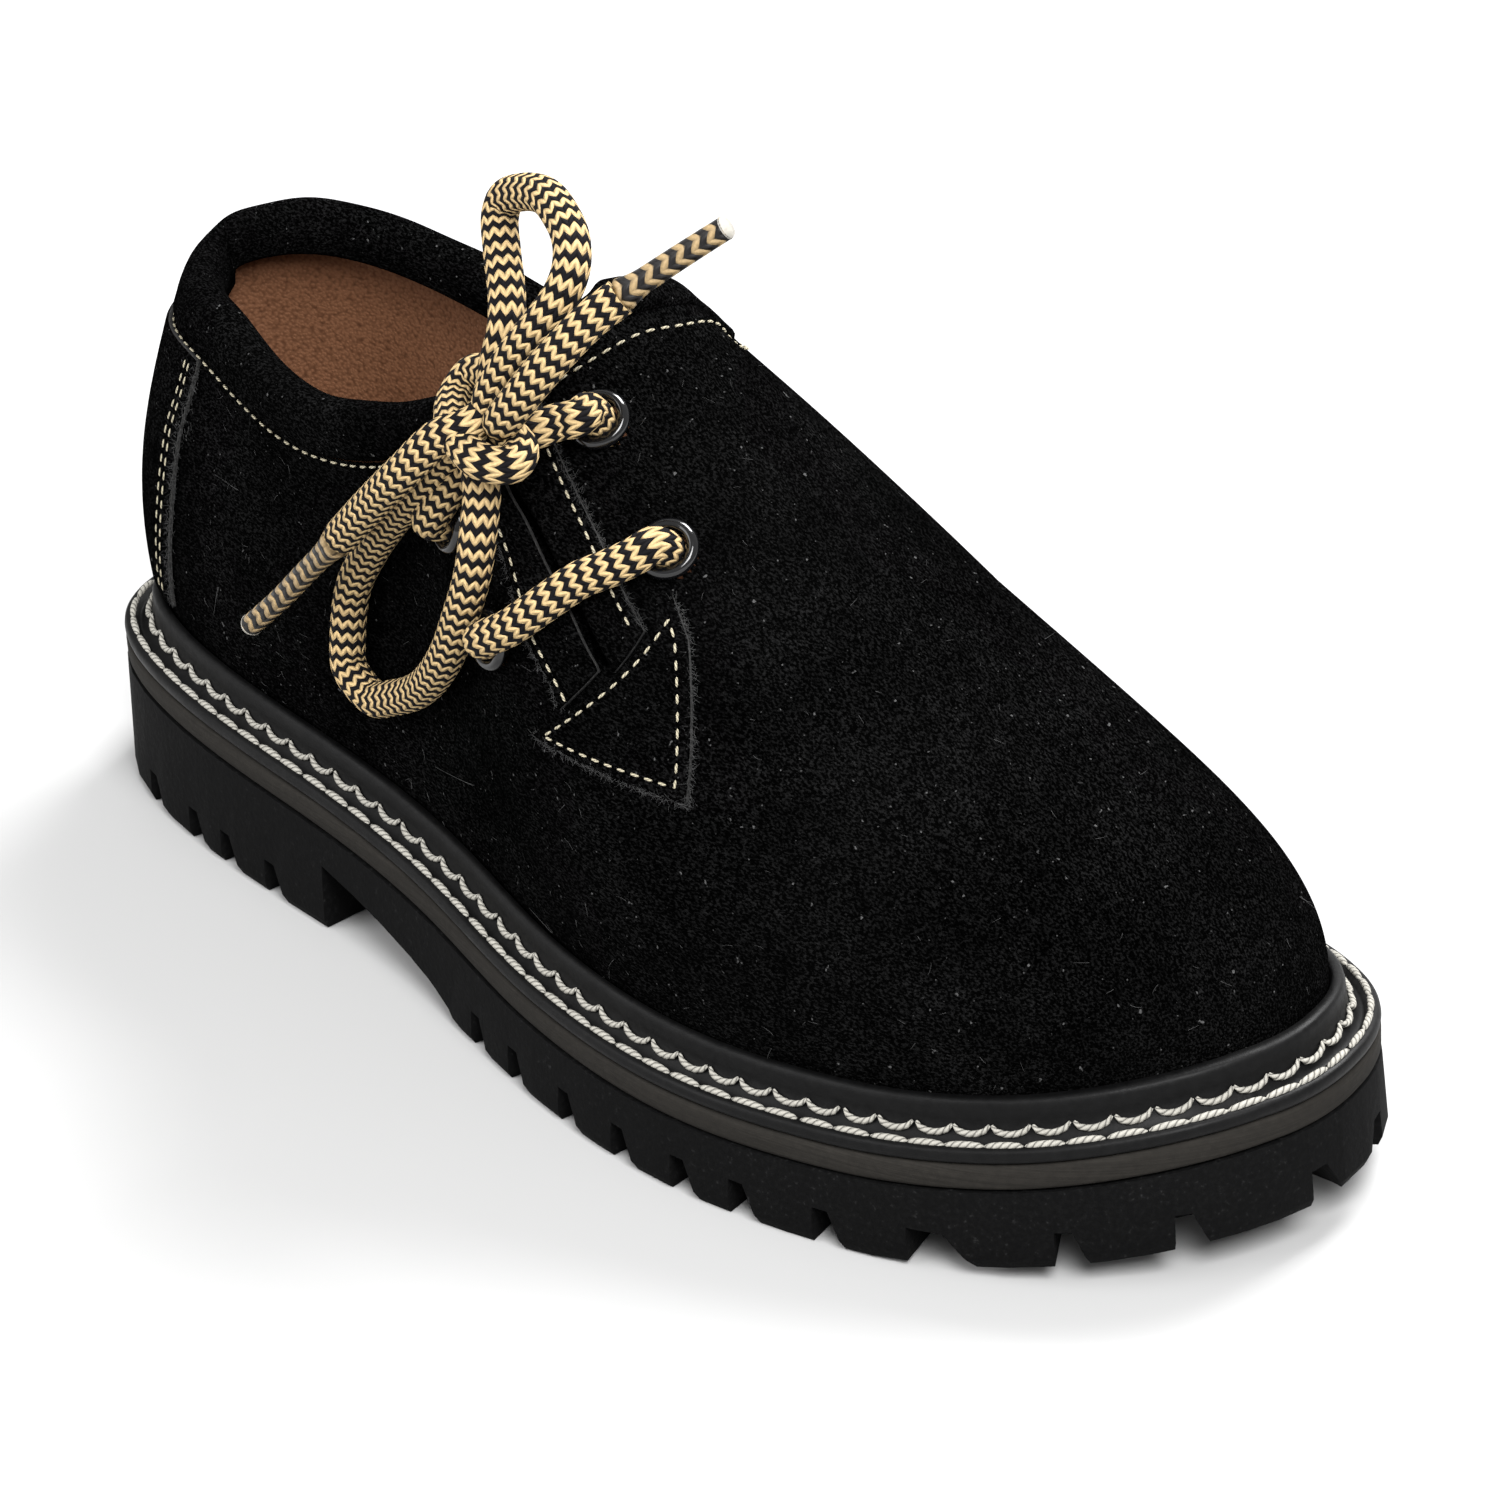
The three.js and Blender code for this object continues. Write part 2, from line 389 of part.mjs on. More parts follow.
// the knot's band and core, and the free strands of the bow, as points chosen by hand
const BAND = [[105.7, -24.5, 99.5], [110.1, -29.0, 98.9], [117.3, -33.0, 98.7], [123.3, -34.0, 98.4], [126.1, -31.5, 98.2], [124.4, -28.5, 99.0]];
const CORE = [[111.0, -27.0, 97.5], [115.0, -28.2, 98.6], [119.5, -28.6, 100.4]];
const STRANDS = {
  lace_front: [[124.6, -16.0, 100.2], [125.7, -18.5, 100.4], [124.2, -21.5, 100.3], [123.2, -25.0, 100.0]],
  lace_rear: [[102.9, -29.2, 80.0], [106.0, -29.6, 84.2], [110.0, -28.6, 90.0], [112.5, -28.0, 95.0]],
  loop_upper: [[113.7, -24.0, 102.2], [113.6, -22.5, 107.1], [113.9, -21.0, 111.4], [111.6, -18.5, 115.1],
    [106.9, -15.0, 119.5], [103.9, -12.5, 123.0], [104.1, -11.5, 125.4], [108.8, -12.0, 128.2],
    [115.8, -13.5, 130.3], [120.3, -15.0, 130.0], [125.8, -17.5, 128.1], [128.4, -20.0, 125.2],
    [128.8, -22.5, 122.1], [127.2, -25.0, 118.3], [123.6, -27.0, 113.2], [120.5, -28.0, 108.3], [118.5, -28.5, 103.5]],
  loop_lower: [[112.5, -30.5, 96.0], [109.2, -30.5, 93.0], [103.9, -30.5, 87.0], [93.3, -28.3, 77.1], [83.1, -26.2, 66.2],
    [78.0, -26.0, 58.3], [77.3, -27.3, 50.3], [78.5, -28.4, 46.1], [84.9, -29.2, 43.6], [90.1, -29.7, 45.8],
    [99.2, -31.0, 51.4], [109.1, -33.4, 61.5], [115.3, -34.5, 71.6], [118.7, -34.5, 79.2], [119.7, -33.5, 86.3],
    [119.2, -32.0, 91.1], [118.2, -31.0, 95.5]],
  end_upper: [[123.8, -30.3, 104.3], [129.8, -29.5, 111.6], [133.5, -27.0, 116.9], [136.5, -23.5, 121.4], [138.7, -20.0, 124.1]],
  end_lower: [[112.8, -33.5, 98.8], [106.3, -35.5, 92.0], [97.5, -35.0, 83.7], [87.5, -34.0, 74.0]],
};
const TIPS = {
  aglet_upper: [[138.9, -19.4, 124.5], [142.7, -16.6, 127.9], [146.5, -13.4, 131.3], [150.5, -10.0, 134.8]],
  aglet_lower: [[86.0, -33.9, 72.5], [78.1, -33.6, 65.0], [70.2, -34.0, 57.0], [63.2, -34.8, 50.4]],
};
const SIDES = 6, STEP = 7.5;
const strand = (points, radius) => {
  const run = new THREE.CatmullRomCurve3(points.map((p) => new THREE.Vector3(...p)), false, 'centripetal').getLength();
  return tube(route(points, Math.max(2, Math.round(run / STEP))), radius, SIDES);
};
const lacePath = (rows, steps) => route(rows.map(([u, t, l]) => lifted(u, t, l)), steps);
const laceBar = (radius = LACE / 2) => tube(lacePath(BAR, 14), radius);
const knot = (grow = 0) => strand(BAND, LACE / 2 + grow).add(tube(CORE, LACE * 0.8 + grow, 8));
// each piece gives way to the ones before it, so that no two meet
function lace() {
  const pieces = { lace_knot: knot() }, taken = [knot(GAP), laceBar(LACE / 2 + GAP)];
  for (const [name, points] of Object.entries(STRANDS)) {
    let body = strand(points, LACE / 2);
    for (const t of taken) body = body.subtract(t);
    pieces[name] = body.decompose().sort((p, q) => q.volume() - p.volume())[0].simplify(0.05);
    taken.push(strand(points, LACE / 2 + GAP));
  }
  for (const [name, points] of Object.entries(TIPS)) {
    let body = tube(route(points, 2), AGLET.d / 2, SIDES);
    for (const t of taken) body = body.subtract(t);
    pieces[name] = body.decompose().sort((p, q) => q.volume() - p.volume())[0];
  }
  return pieces;
}

// ---------------------------------------------------------------- assembly
const lowest = [Infinity, Infinity], highest = [-Infinity, -Infinity];
for (let i = 0; i < 720; i++) edgePoint(i / 720, -FLARE, () => 0).slice(0, 2).forEach((v, k) => {
  lowest[k] = Math.min(lowest[k], v); highest[k] = Math.max(highest[k], v);
});
const CENTRE = [(lowest[0] + highest[0]) / 2, (lowest[1] + highest[1]) / 2];

const LOOK = {
  rubber: [0x232324, 0.62, 0], band: [0x4b463e, 0.7, 0], welt: [0x1b1b1c, 0.45, 0], suede: [0x131314, 0.95, 0],
  leather: [0x82553a, 0.7, 0], metal: [0x0c0c0d, 0.2, 0.9], lace: [0xb99a63, 0.9, 0], tip: [0xcfc4a4, 0.35, 0],
};
const part = new THREE.Group();
part.name = 'haferl_shoe';
function put(name, body, look) {
  const mesh = body.getMesh(), n = mesh.numProp, pos = [];
  for (let i = 0; i < mesh.vertProperties.length; i += n) {
    pos.push(mesh.vertProperties[i] - CENTRE[0], mesh.vertProperties[i + 1] - CENTRE[1], mesh.vertProperties[i + 2]);
  }
  const g = new THREE.BufferGeometry();
  g.setAttribute('position', new THREE.Float32BufferAttribute(pos, 3));
  g.setIndex([...mesh.triVerts]);
  g.computeVertexNormals();
  const [color, roughness, metalness] = LOOK[look];
  const node = new THREE.Mesh(g, new THREE.MeshStandardMaterial({ color, roughness, metalness }));
  node.name = name;
  part.add(node);
}
put('outsole', outsole(), 'rubber');
put('midsole', midsole(), 'band');
put('welt', welt(), 'welt');
put('insole', insole(), 'leather');
put('upper', upper(), 'suede');
put('collar', collar(), 'suede');
put('tongue', tongue(), 'suede');
put('heel_stay', heelStay(), 'suede');
put('facing_front', facingFront(), 'suede');
put('facing_rear', facingRear(), 'suede');
put('corner_patch', patch(), 'suede');
for (const [name, at] of Object.entries(EYELETS)) put('eyelet_' + name, eyelet(at), 'metal');
put('lace_bar', laceBar(), 'lace');
for (const [name, body] of Object.entries(lace())) put(name, body, name.startsWith('aglet') ? 'tip' : 'lace');

export default part;
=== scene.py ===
import math

import bmesh
import bpy
import numpy as np
from mathutils import Matrix, Vector


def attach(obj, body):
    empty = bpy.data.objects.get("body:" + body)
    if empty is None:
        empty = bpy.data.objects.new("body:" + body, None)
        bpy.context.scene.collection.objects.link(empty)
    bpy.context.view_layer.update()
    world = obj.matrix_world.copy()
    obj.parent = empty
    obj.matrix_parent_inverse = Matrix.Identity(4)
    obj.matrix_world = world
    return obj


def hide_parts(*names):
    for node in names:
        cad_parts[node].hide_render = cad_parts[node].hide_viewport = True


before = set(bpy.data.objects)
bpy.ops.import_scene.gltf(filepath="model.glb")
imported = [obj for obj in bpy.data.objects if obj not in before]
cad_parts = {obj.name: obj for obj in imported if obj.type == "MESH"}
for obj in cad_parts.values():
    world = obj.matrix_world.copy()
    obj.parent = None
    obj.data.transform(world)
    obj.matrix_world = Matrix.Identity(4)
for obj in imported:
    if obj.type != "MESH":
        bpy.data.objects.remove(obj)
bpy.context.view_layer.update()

# Looks of a side-laced haferl shoe, right foot. Sizes are millimetres in the CAD source's own
# frame, x from the heel's back to the toe, and become metres in the row frame when a mesh is made.

# Named sizes, the same as in the CAD source
LENGTH, BALL, INSTEP = 240.0, 92.0, 107.0
WALL, MIDSOLE, FLARE = 2.0, 4.3, 0.8
MARGIN, SHELF, RIM = 5.0, 2.4, 7.4
FEATHER_INSET, FEATHER_RISE = 8.0, 2.0

# Sizes of the looks alone. The CAD source's plain strands and tips are a little thinner than these
LACE, TIP = 5.5, 3.6
# half of the CAD source's gap between pieces, radius of the eyelets' holes, spacing of a lace's rings
CLEAR, EYELET_HOLE, CORD_STEP = 0.15, 3.4, 0.8
# suede overlays: lifts of their inner and outer side, how far the edge is rounded down,
# the patch's extra lift, and t of their top edge
PLY_LOW, PLY_HIGH, PLY_ROUND, PATCH_RISE, PLY_TOP = 0.25, 1.35, 0.35, 0.1, 0.985

# rows run heel back, outer side, toe, inner side; columns are
# edge x, edge y, seam x, seam y, seam z, foot out, foot up, seam out, seam down
ROWS = [
    (0.010, -0.002, 0.031, 0.018, 0.726, 0.030, 0.207, 0.021, 0.172),
    (0.032, -0.082, 0.069, -0.105, 0.730, 0.033, 0.198, 0.060, 0.172),
    (0.121, -0.122, 0.131, -0.168, 0.726, 0.040, 0.170, 0.021, 0.152),
    (0.249, -0.136, 0.232, -0.223, 0.700, 0.038, 0.150, -0.019, 0.129),
    (0.397, -0.146, 0.334, -0.231, 0.735, 0.037, 0.159, -0.025, 0.146),
    (0.537, -0.174, 0.409, -0.224, 0.827, 0.047, 0.178, 0.062, 0.186),
    (0.676, -0.185, 0.451, -0.185, 0.904, 0.047, 0.196, 0.205, 0.224),
    (0.799, -0.162, 0.471, -0.130, 0.949, 0.047, 0.205, 0.338, 0.261),
    (0.904, -0.117, 0.483, -0.065, 0.984, 0.046, 0.213, 0.451, 0.316),
    (0.978, -0.043, 0.489, -0.001, 1.002, 0.047, 0.215, 0.565, 0.373),
    (1.006, 0.041, 0.491, 0.062, 0.995, 0.049, 0.222, 0.639, 0.420),
    (0.980, 0.123, 0.487, 0.131, 0.973, 0.056, 0.265, 0.612, 0.448),
    (0.905, 0.175, 0.482, 0.182, 0.925, 0.053, 0.249, 0.482, 0.417),
    (0.802, 0.195, 0.469, 0.250, 0.870, 0.047, 0.203, 0.302, 0.345),
    (0.700, 0.196, 0.428, 0.280, 0.838, 0.037, 0.184, 0.232, 0.236),
    (0.560, 0.155, 0.376, 0.278, 0.774, 0.028, 0.167, 0.109, 0.165),
    (0.420, 0.119, 0.291, 0.290, 0.744, 0.028, 0.159, 0.029, 0.126),
    (0.251, 0.124, 0.186, 0.284, 0.766, 0.037, 0.159, 0.032, 0.145),
    (0.124, 0.126, 0.098, 0.216, 0.782, 0.037, 0.178, 0.028, 0.166),
    (0.037, 0.079, 0.045, 0.114, 0.763, 0.028, 0.196, 0.018, 0.169),
]
UNIT = (LENGTH, LENGTH, LENGTH, BALL, INSTEP, INSTEP, INSTEP, INSTEP, INSTEP)
# share of length, height of the midsole band's lower edge
SIDE = [(0.00, 21.4), (0.12, 19.6), (0.28, 17.8), (0.42, 14.8), (0.55, 12.3),
        (0.70, 11.6), (0.80, 12.2), (0.90, 14.6), (1.00, 18.9)]
# lacing slit and the outer edges of its two facing strips: t, u
SLIT = [(0.650, 0.3417), (0.675, 0.3396), (0.713, 0.3375), (0.775, 0.3312), (0.825, 0.3250),
        (0.863, 0.3167), (0.950, 0.3021), (1.000, 0.2960)]
STRIP_FRONT = [(0.700, 0.3665), (0.750, 0.3635), (0.800, 0.3615), (0.850, 0.3570),
               (0.912, 0.3500), (0.985, 0.3380)]
STRIP_REAR = [(0.600, 0.3135), (0.640, 0.3100), (0.675, 0.3065), (0.762, 0.3045),
              (0.850, 0.2940), (0.900, 0.2850), (0.985, 0.2700)]
STAY = [(0.14, 0.0770), (0.45, 0.0785), (0.70, 0.0780), (0.85, 0.0820), (0.97, 0.0860)]
# corner patch: heel-side, top, front and bottom corners as u, t
PATCH = [(0.2938, 0.525), (0.3875, 0.738), (0.3850, 0.690), (0.3521, 0.487)]
EYELETS = {"front_upper": (0.3875, 0.925), "front_lower": (0.3958, 0.787),
           "rear_upper": (0.2625, 0.825), "rear_lower": (0.2833, 0.650)}
# collar roll: along the surface from the seam, and inward
ROLL = [(0.3, 0.0), (2.6, -0.7), (5.6, -0.2), (7.7, 1.6), (8.3, 3.6), (7.4, 5.6), (5.0, 6.9), (2.2, 7.0),
        (0.3, 6.2)]
# midsole: inset from the sole's edge, and height above the midsole's lower edge
MIDSOLE_PROFILE = [(0.75, CLEAR), (0.35, 0.35), (0.15, 0.9), (0.15, MIDSOLE - 0.9), (0.35, MIDSOLE - 0.35),
                   (0.75, MIDSOLE - CLEAR), (20, MIDSOLE - CLEAR), (20, CLEAR)]
# welt: inset from the sole's edge, and height above the midsole
WELT_PROFILE = [(0.55, CLEAR), (0.25, 0.5), (0.12, 1.2), (0.25, 1.9), (0.6, SHELF - 0.05),
                (2.1, SHELF - 0.05), (2.45, SHELF - 1.05), (3.0, SHELF - 1.15), (MARGIN - 1.35, SHELF - 0.40),
                (MARGIN - 0.30, SHELF + 0.5), (MARGIN, SHELF + 2.2), (MARGIN + 0.1, RIM - 1.1),
                (MARGIN + 0.3, RIM - 0.35), (MARGIN + 0.75, RIM + 0.02)]
# eyelet ring: radius and height, and how far the whole ring is raised off the skin
EYELET_PROFILE = [(4.55, 0.25), (4.5, 0.95), (3.95, 1.5), (3.3, 1.45), (2.9, 0.9), (2.85, -WALL),
                  (3.15, -WALL - 0.1), (3.2, 0.2)]
EYELET_RISE = 0.9
# the slit in suede and lining: t of its lower end, half its width there, and its widening with t
SLIT_END, SLIT_HALF, SLIT_SPREAD = 0.655, 0.55, 1.3
LINING_SLIT_END, LINING_SLIT_HALF = 0.64, 3.4
# t of each facing's bottom, beside the slit and at its outer edge, and u from the slit's middle to a facing
FACING_FRONT_END, FACING_REAR_END, FACING_SIDE = (0.644, 0.698), (0.643, 0.579), 0.0035
# stitch line of the patch as u, t, and u from a facing's outer edge to its stitches
PATCH_SEAM = [(0.3015, 0.5330), (0.3810, 0.7120), (0.3795, 0.6900), (0.3515, 0.5080)]
FACING_SEAM = 0.0052
# stitches: pitch, share of it that the thread covers, thread radius, depth of the ends, height of the middle
WELT_OUTER = (5.79, 0.97, 0.52, 0.12, 0.32)
WELT_INNER = (5.79, 0.93, 0.50, -1.35, -1.30)
SEAM_STITCH = (2.45, 0.58, 0.205, 0.08, 0.13)
STAY_STITCH = (2.45, 0.62, 0.165, 0.10, 0.12)
# lace bar between the lower eyelets: u, t, lift
BAR = [(0.3958, 0.7870, -2.5), (0.3945, 0.7865, 2.0), (0.3900, 0.784, 4.4), (0.3810, 0.775, 4.6),
       (0.3650, 0.762, 4.6), (0.3500, 0.750, 4.6), (0.3330, 0.725, 4.6), (0.3100, 0.685, 4.6),
       (0.2910, 0.659, 4.4), (0.2850, 0.652, 2.0), (0.2833, 0.6500, -2.5)]


class RowCurve:
    """Closed cubic through the rows, knots spaced by the square root of the outline steps."""

    def __init__(self):
        rows = np.array(ROWS)
        step = np.sqrt(np.hypot(*(np.roll(rows, -1, 0) - rows)[:, :2].T))
        self.knots = np.concatenate([[0], np.cumsum(step)]) / step.sum()
        self.values = rows * np.array(UNIT)
        n, h = len(rows), np.diff(self.knots)
        matrix, right = np.zeros((n, n)), np.zeros_like(self.values)
        for i in range(n):
            matrix[i, i - 1] += h[i - 1]
            matrix[i, i] += 2 * (h[i - 1] + h[i])
            matrix[i, (i + 1) % n] += h[i]
            ahead = (self.values[(i + 1) % n] - self.values[i]) / h[i]
            behind = (self.values[i] - self.values[i - 1]) / h[i - 1]
            right[i] = 6 * (ahead - behind)
        self.bend = np.linalg.solve(matrix, right)

    def __call__(self, u, slope=False):
        u = np.asarray(u, float) % 1.0
        i = np.clip(np.searchsorted(self.knots, u, side="right") - 1, 0, len(ROWS) - 1)
        j = (i + 1) % len(ROWS)
        d = (self.knots[i + 1] - self.knots[i])[..., None]
        a = self.knots[i + 1][..., None] - u[..., None]
        b = u[..., None] - self.knots[i][..., None]
        mi, mj = self.bend[i], self.bend[j]
        p, q = self.values[i] / d - mi * d / 6, self.values[j] / d - mj * d / 6
        if slope:
            return (-mi * a * a + mj * b * b) / (2 * d) - p + q
        return (mi * a ** 3 + mj * b ** 3) / (6 * d) + p * a + q * b


row_curve = RowCurve()


def open_curve(table):
    """Curve with no overshoot through a short table of pairs."""
    x, y = np.array(table, float).T
    s = np.diff(y) / np.diff(x)
    g = np.concatenate([s[:1], np.zeros(len(x) - 2), s[-1:]])
    for i in range(1, len(x) - 1):
        g[i] = 0 if s[i - 1] * s[i] <= 0 else 2 * s[i - 1] * s[i] / (s[i - 1] + s[i])

    def value(t):
        t = np.clip(np.asarray(t, float), x[0], x[-1])
        i = np.clip(np.searchsorted(x, t, side="right") - 1, 0, len(x) - 2)
        h = x[i + 1] - x[i]
        q = (t - x[i]) / h
        return (y[i] * (1 + 2 * q) * (1 - q) ** 2 + g[i] * h * q * (1 - q) ** 2
                + y[i + 1] * q * q * (3 - 2 * q) + g[i + 1] * h * q * q * (q - 1))
    return value


band_low, slit_at = open_curve(SIDE), open_curve(SLIT)
front_at, rear_at, stay_at = open_curve(STRIP_FRONT), open_curve(STRIP_REAR), open_curve(STAY)


def unit(v):
    return v / np.linalg.norm(v, axis=-1, keepdims=True)


def edge(u):
    """Place, outward direction and share of length on the sole's outline."""
    r, d = row_curve(u), row_curve(u, True)
    size = np.hypot(d[..., 0], d[..., 1])
    return r[..., :2], np.stack([d[..., 1] / size, -d[..., 0] / size], -1), r[..., 0] / LENGTH


def band_top(s):
    return band_low(s) + MIDSOLE


def edge_point(u, inset, above):
    """A point in from the sole's edge, a height above the midsole band."""
    p, n, s = edge(u)
    q = p - n * np.asarray(inset, float)[..., None]
    return np.concatenate([q, (band_top(s) + above)[..., None]], -1)


def skin(u, t):
    """Outside of the upper: u round the foot, t from the feather line to the collar seam."""
    u, t = np.broadcast_arrays(np.asarray(u, float), np.asarray(t, float))
    r, d = row_curve(u), row_curve(u, True)
    n = edge(u)[1]
    foot = edge_point(u, FEATHER_INSET, FEATHER_RISE)
    size = np.hypot(d[..., 2], d[..., 3])
    out = np.stack([d[..., 3] / size, -d[..., 2] / size], -1)
    seam = r[..., 2:5]
    h1 = foot + np.concatenate([n * r[..., 5:6], r[..., 6:7]], -1)
    h2 = seam + np.concatenate([out * r[..., 7:8], -r[..., 8:9]], -1)
    t = t[..., None]
    return (1 - t) ** 3 * foot + 3 * (1 - t) ** 2 * t * h1 + 3 * (1 - t) * t * t * h2 + t ** 3 * seam


def skin_frame(u, t):
    u, t = np.broadcast_arrays(np.asarray(u, float), np.asarray(t, float))
    k = 0.002
    along = unit(skin(u + k, t) - skin(u - k, t))
    up = unit(skin(u, np.minimum(t + k, 1)) - skin(u, np.maximum(t - k, 0)))
    return along, up, unit(np.cross(along, up))


def lifted(u, t, lift):
    return skin(u, t) + skin_frame(u, t)[2] * np.asarray(lift, float)[..., None]


def skin_inset(u, rise):
    """How far in from the sole's edge the skin stands, at a height above the feather line."""
    p, n, s = edge(u)
    low, high = np.zeros_like(s), np.full_like(s, 0.5)
    for _ in range(24):
        mid = (low + high) / 2
        below = skin(u, mid)[..., 2] < band_top(s) + FEATHER_RISE + rise
        low, high = np.where(below, mid, low), np.where(below, high, mid)
    return ((p - skin(u, low)[..., :2]) * n).sum(-1)


outline = edge_point(np.arange(720) / 720, -FLARE, 0)[:, :2]
CENTRE = np.append((outline.min(0) + outline.max(0)) / 2, 0)


def to_row(points):
    """Millimetres of the CAD source to metres of the row frame."""
    return (np.asarray(points, float) - CENTRE) / 1000


# Camera at the photograph's angle
CAMERA = {"azimuth": math.radians(40.45), "elevation": math.radians(29.91), "roll": math.radians(-3.66),
          "distance": 896.1, "target": (133.8, 2.55, 40.0), "focal_px": 6051.0, "frame_px": 1500.0}


def make_camera():
    a, e, roll = CAMERA["azimuth"], CAMERA["elevation"], CAMERA["roll"]
    away = np.array([math.cos(e) * math.cos(a), -math.cos(e) * math.sin(a), math.sin(e)])
    right = unit(np.cross(-away, (0, 0, 1)))
    up = np.cross(right, -away)
    right, up = math.cos(roll) * right + math.sin(roll) * up, math.cos(roll) * up - math.sin(roll) * right
    camera = bpy.data.objects.new("camera", bpy.data.cameras.new("camera"))
    bpy.context.scene.collection.objects.link(camera)
    place = to_row(np.array(CAMERA["target"]) + CAMERA["distance"] * away)
    rows = [[float(x) for x in (right[k], up[k], away[k], place[k])] for k in range(3)]
    camera.matrix_world = Matrix(rows + [[0, 0, 0, 1]])
    camera.data.sensor_width = 36
    camera.data.lens = CAMERA["focal_px"] * 36 / CAMERA["frame_px"]
    camera.data.clip_start = 0.05
    bpy.context.scene.camera = camera


make_camera()


def rgba(value):
    """A node's socket as it is, or three numbers as an opaque colour."""
    return value if isinstance(value, bpy.types.NodeSocket) else (*value, 1)


class Nodes:
    """Short way to build a procedural material."""

    def __init__(self, name):
        self.material = bpy.data.materials.new(name)
        self.material.use_nodes = True
        self.tree = self.material.node_tree
        self.shader = self.tree.nodes["Principled BSDF"]

    def add(self, kind, sockets=None, **values):
        node = self.tree.nodes.new(kind)
        for key, value in values.items():
            setattr(node, key, value)
        for key, value in (sockets or {}).items():
            self.set(node.inputs[key], value)
        return node

    def set(self, socket, value):
        if isinstance(value, bpy.types.NodeSocket):
            self.tree.links.new(value, socket)
        else:
            socket.default_value = value

    def math(self, operation, *values):
        node = self.add("ShaderNodeMath", operation=operation)
        for k, value in enumerate(values):
            self.set(node.inputs[k], value)
        return node.outputs[0]

    def noise(self, scale, detail=3.0, vector=None, roughness=0.55):
        node = self.add("ShaderNodeTexNoise", {"Scale": scale, "Detail": detail, "Roughness": roughness})
        self.set(node.inputs["Vector"], vector or self.place())
        return node.outputs["Fac"]

    def place(self):
        return self.add("ShaderNodeTexCoord").outputs["Object"]

    def stretched(self, scale, turn=(0.0, 0.0, 0.0)):
        """Object coordinates scaled along each axis and turned."""
        sockets = {"Vector": self.place(), "Rotation": turn, "Scale": scale}
        return self.add("ShaderNodeMapping", sockets).outputs["Vector"]

    def ramp(self, factor, stops):
        node = self.add("ShaderNodeValToRGB", {"Fac": factor})
        while len(node.color_ramp.elements) < len(stops):
            node.color_ramp.elements.new(0.5)
        for element, (at, colour) in zip(node.color_ramp.elements, stops):
            element.position = at
            element.color = (*colour, 1) if isinstance(colour, tuple) else (colour, colour, colour, 1)
        return node.outputs["Color"]

    def mix(self, factor, a, b):
        node = self.add("ShaderNodeMix", data_type="RGBA")
        self.set(node.inputs["Factor"], factor)
        self.set(node.inputs[6], rgba(a))
        self.set(node.inputs[7], rgba(b))
        return node.outputs[2]

    def bump(self, height, distance, strength=1.0, normal=None):
        node = self.add("ShaderNodeBump", {"Height": height, "Distance": distance, "Strength": strength})
        if normal:
            self.set(node.inputs["Normal"], normal)
        return node.outputs["Normal"]

    def finish(self, colour, roughness, normal=None, **more):
        self.set(self.shader.inputs["Base Color"], rgba(colour))
        self.set(self.shader.inputs["Roughness"], roughness)
        if normal:
            self.set(self.shader.inputs["Normal"], normal)
        for key, value in more.items():
            self.set(self.shader.inputs[key.replace("_", " ")], value)
        return self.material


def suede_material():
    """Black suede: short mottled nap with painted sheen in fine streaks and soft patches, with pale fibre
    ends.
    """
    m = Nodes("suede")
    streaks = m.noise(1.0, 3, m.stretched((1500.0, 3100.0, 3100.0), (0.3, 0.5, 0.7)), 0.6)
    nap = m.noise(3200, 3, roughness=0.7)
    patches = m.noise(28, 4, roughness=0.6)
    clusters = m.ramp(m.noise(420, 3), [(0.30, 0.45), (0.70, 1.0)])
    soft = m.ramp(m.noise(55, 3), [(0.36, 0.55), (0.64, 1.0)])
    # painted sheen: lighter streaks and soft patches in the colour stand in for light catching the nap, over
    # the nap's own dark mottling
    sheen_streaks = m.ramp(streaks, [(0.47, 0.0), (0.66, 1.0)])
    painted_sheen = m.math("MULTIPLY", m.math("MULTIPLY", sheen_streaks, clusters), soft)
    fleck = m.ramp(m.noise(1150, 2, roughness=0.35), [(0.735, 0.0), (0.78, 1.0)])
    base = m.ramp(patches, [(0.35, (0.0003, 0.0003, 0.0003)), (0.7, (0.0009, 0.0009, 0.0009))])
    # the painted sheen is mixed into the dark base colour
    nap_with_painted_sheen = m.mix(m.math("MULTIPLY", painted_sheen, 0.85), base, (0.0150, 0.0150, 0.0152))
    colour = m.mix(m.math("MULTIPLY", fleck, 0.6), nap_with_painted_sheen, (0.12, 0.12, 0.12))
    normal = m.bump(nap, 0.0003, 0.9, m.bump(streaks, 0.0003, 0.9, m.bump(patches, 0.0006, 0.3)))
    return m.finish(colour, 1.0, normal, Specular_IOR_Level=0.0)


def lining_material():
    """Brown leather with a fine pebbled grain."""
    m = Nodes("lining")
    cells = m.add("ShaderNodeTexVoronoi", {"Scale": 1900.0, "Vector": m.place()}, feature="SMOOTH_F1")
    grain = cells.outputs["Distance"]
    fine = m.noise(2100, 3)
    tone = m.noise(22, 3)
    base = m.ramp(tone, [(0.3, (0.165, 0.071, 0.034)), (0.7, (0.235, 0.108, 0.054))])
    colour = m.mix(m.ramp(grain, [(0.30, 0.0), (0.8, 0.85)]), base, (0.072, 0.026, 0.010))
    normal = m.bump(grain, -0.00022, 0.7, m.bump(fine, 0.0001, 0.5))
    return m.finish(colour, 0.66, normal, Specular_IOR_Level=0.3)


def rubber_material():
    """Dull black rubber with pale specks."""
    m = Nodes("outsole_rubber")
    speck = m.noise(1300, 3)
    colour = m.ramp(speck, [(0.42, (0.0026, 0.0026, 0.0027)), (0.64, (0.0046, 0.0046, 0.0047)),
                            (0.76, (0.018, 0.018, 0.0183))])
    normal = m.bump(m.noise(900, 4), 0.0003, 0.7)
    return m.finish(colour, m.ramp(speck, [(0.3, 0.70), (0.7, 0.90)]), normal, Specular_IOR_Level=0.05)


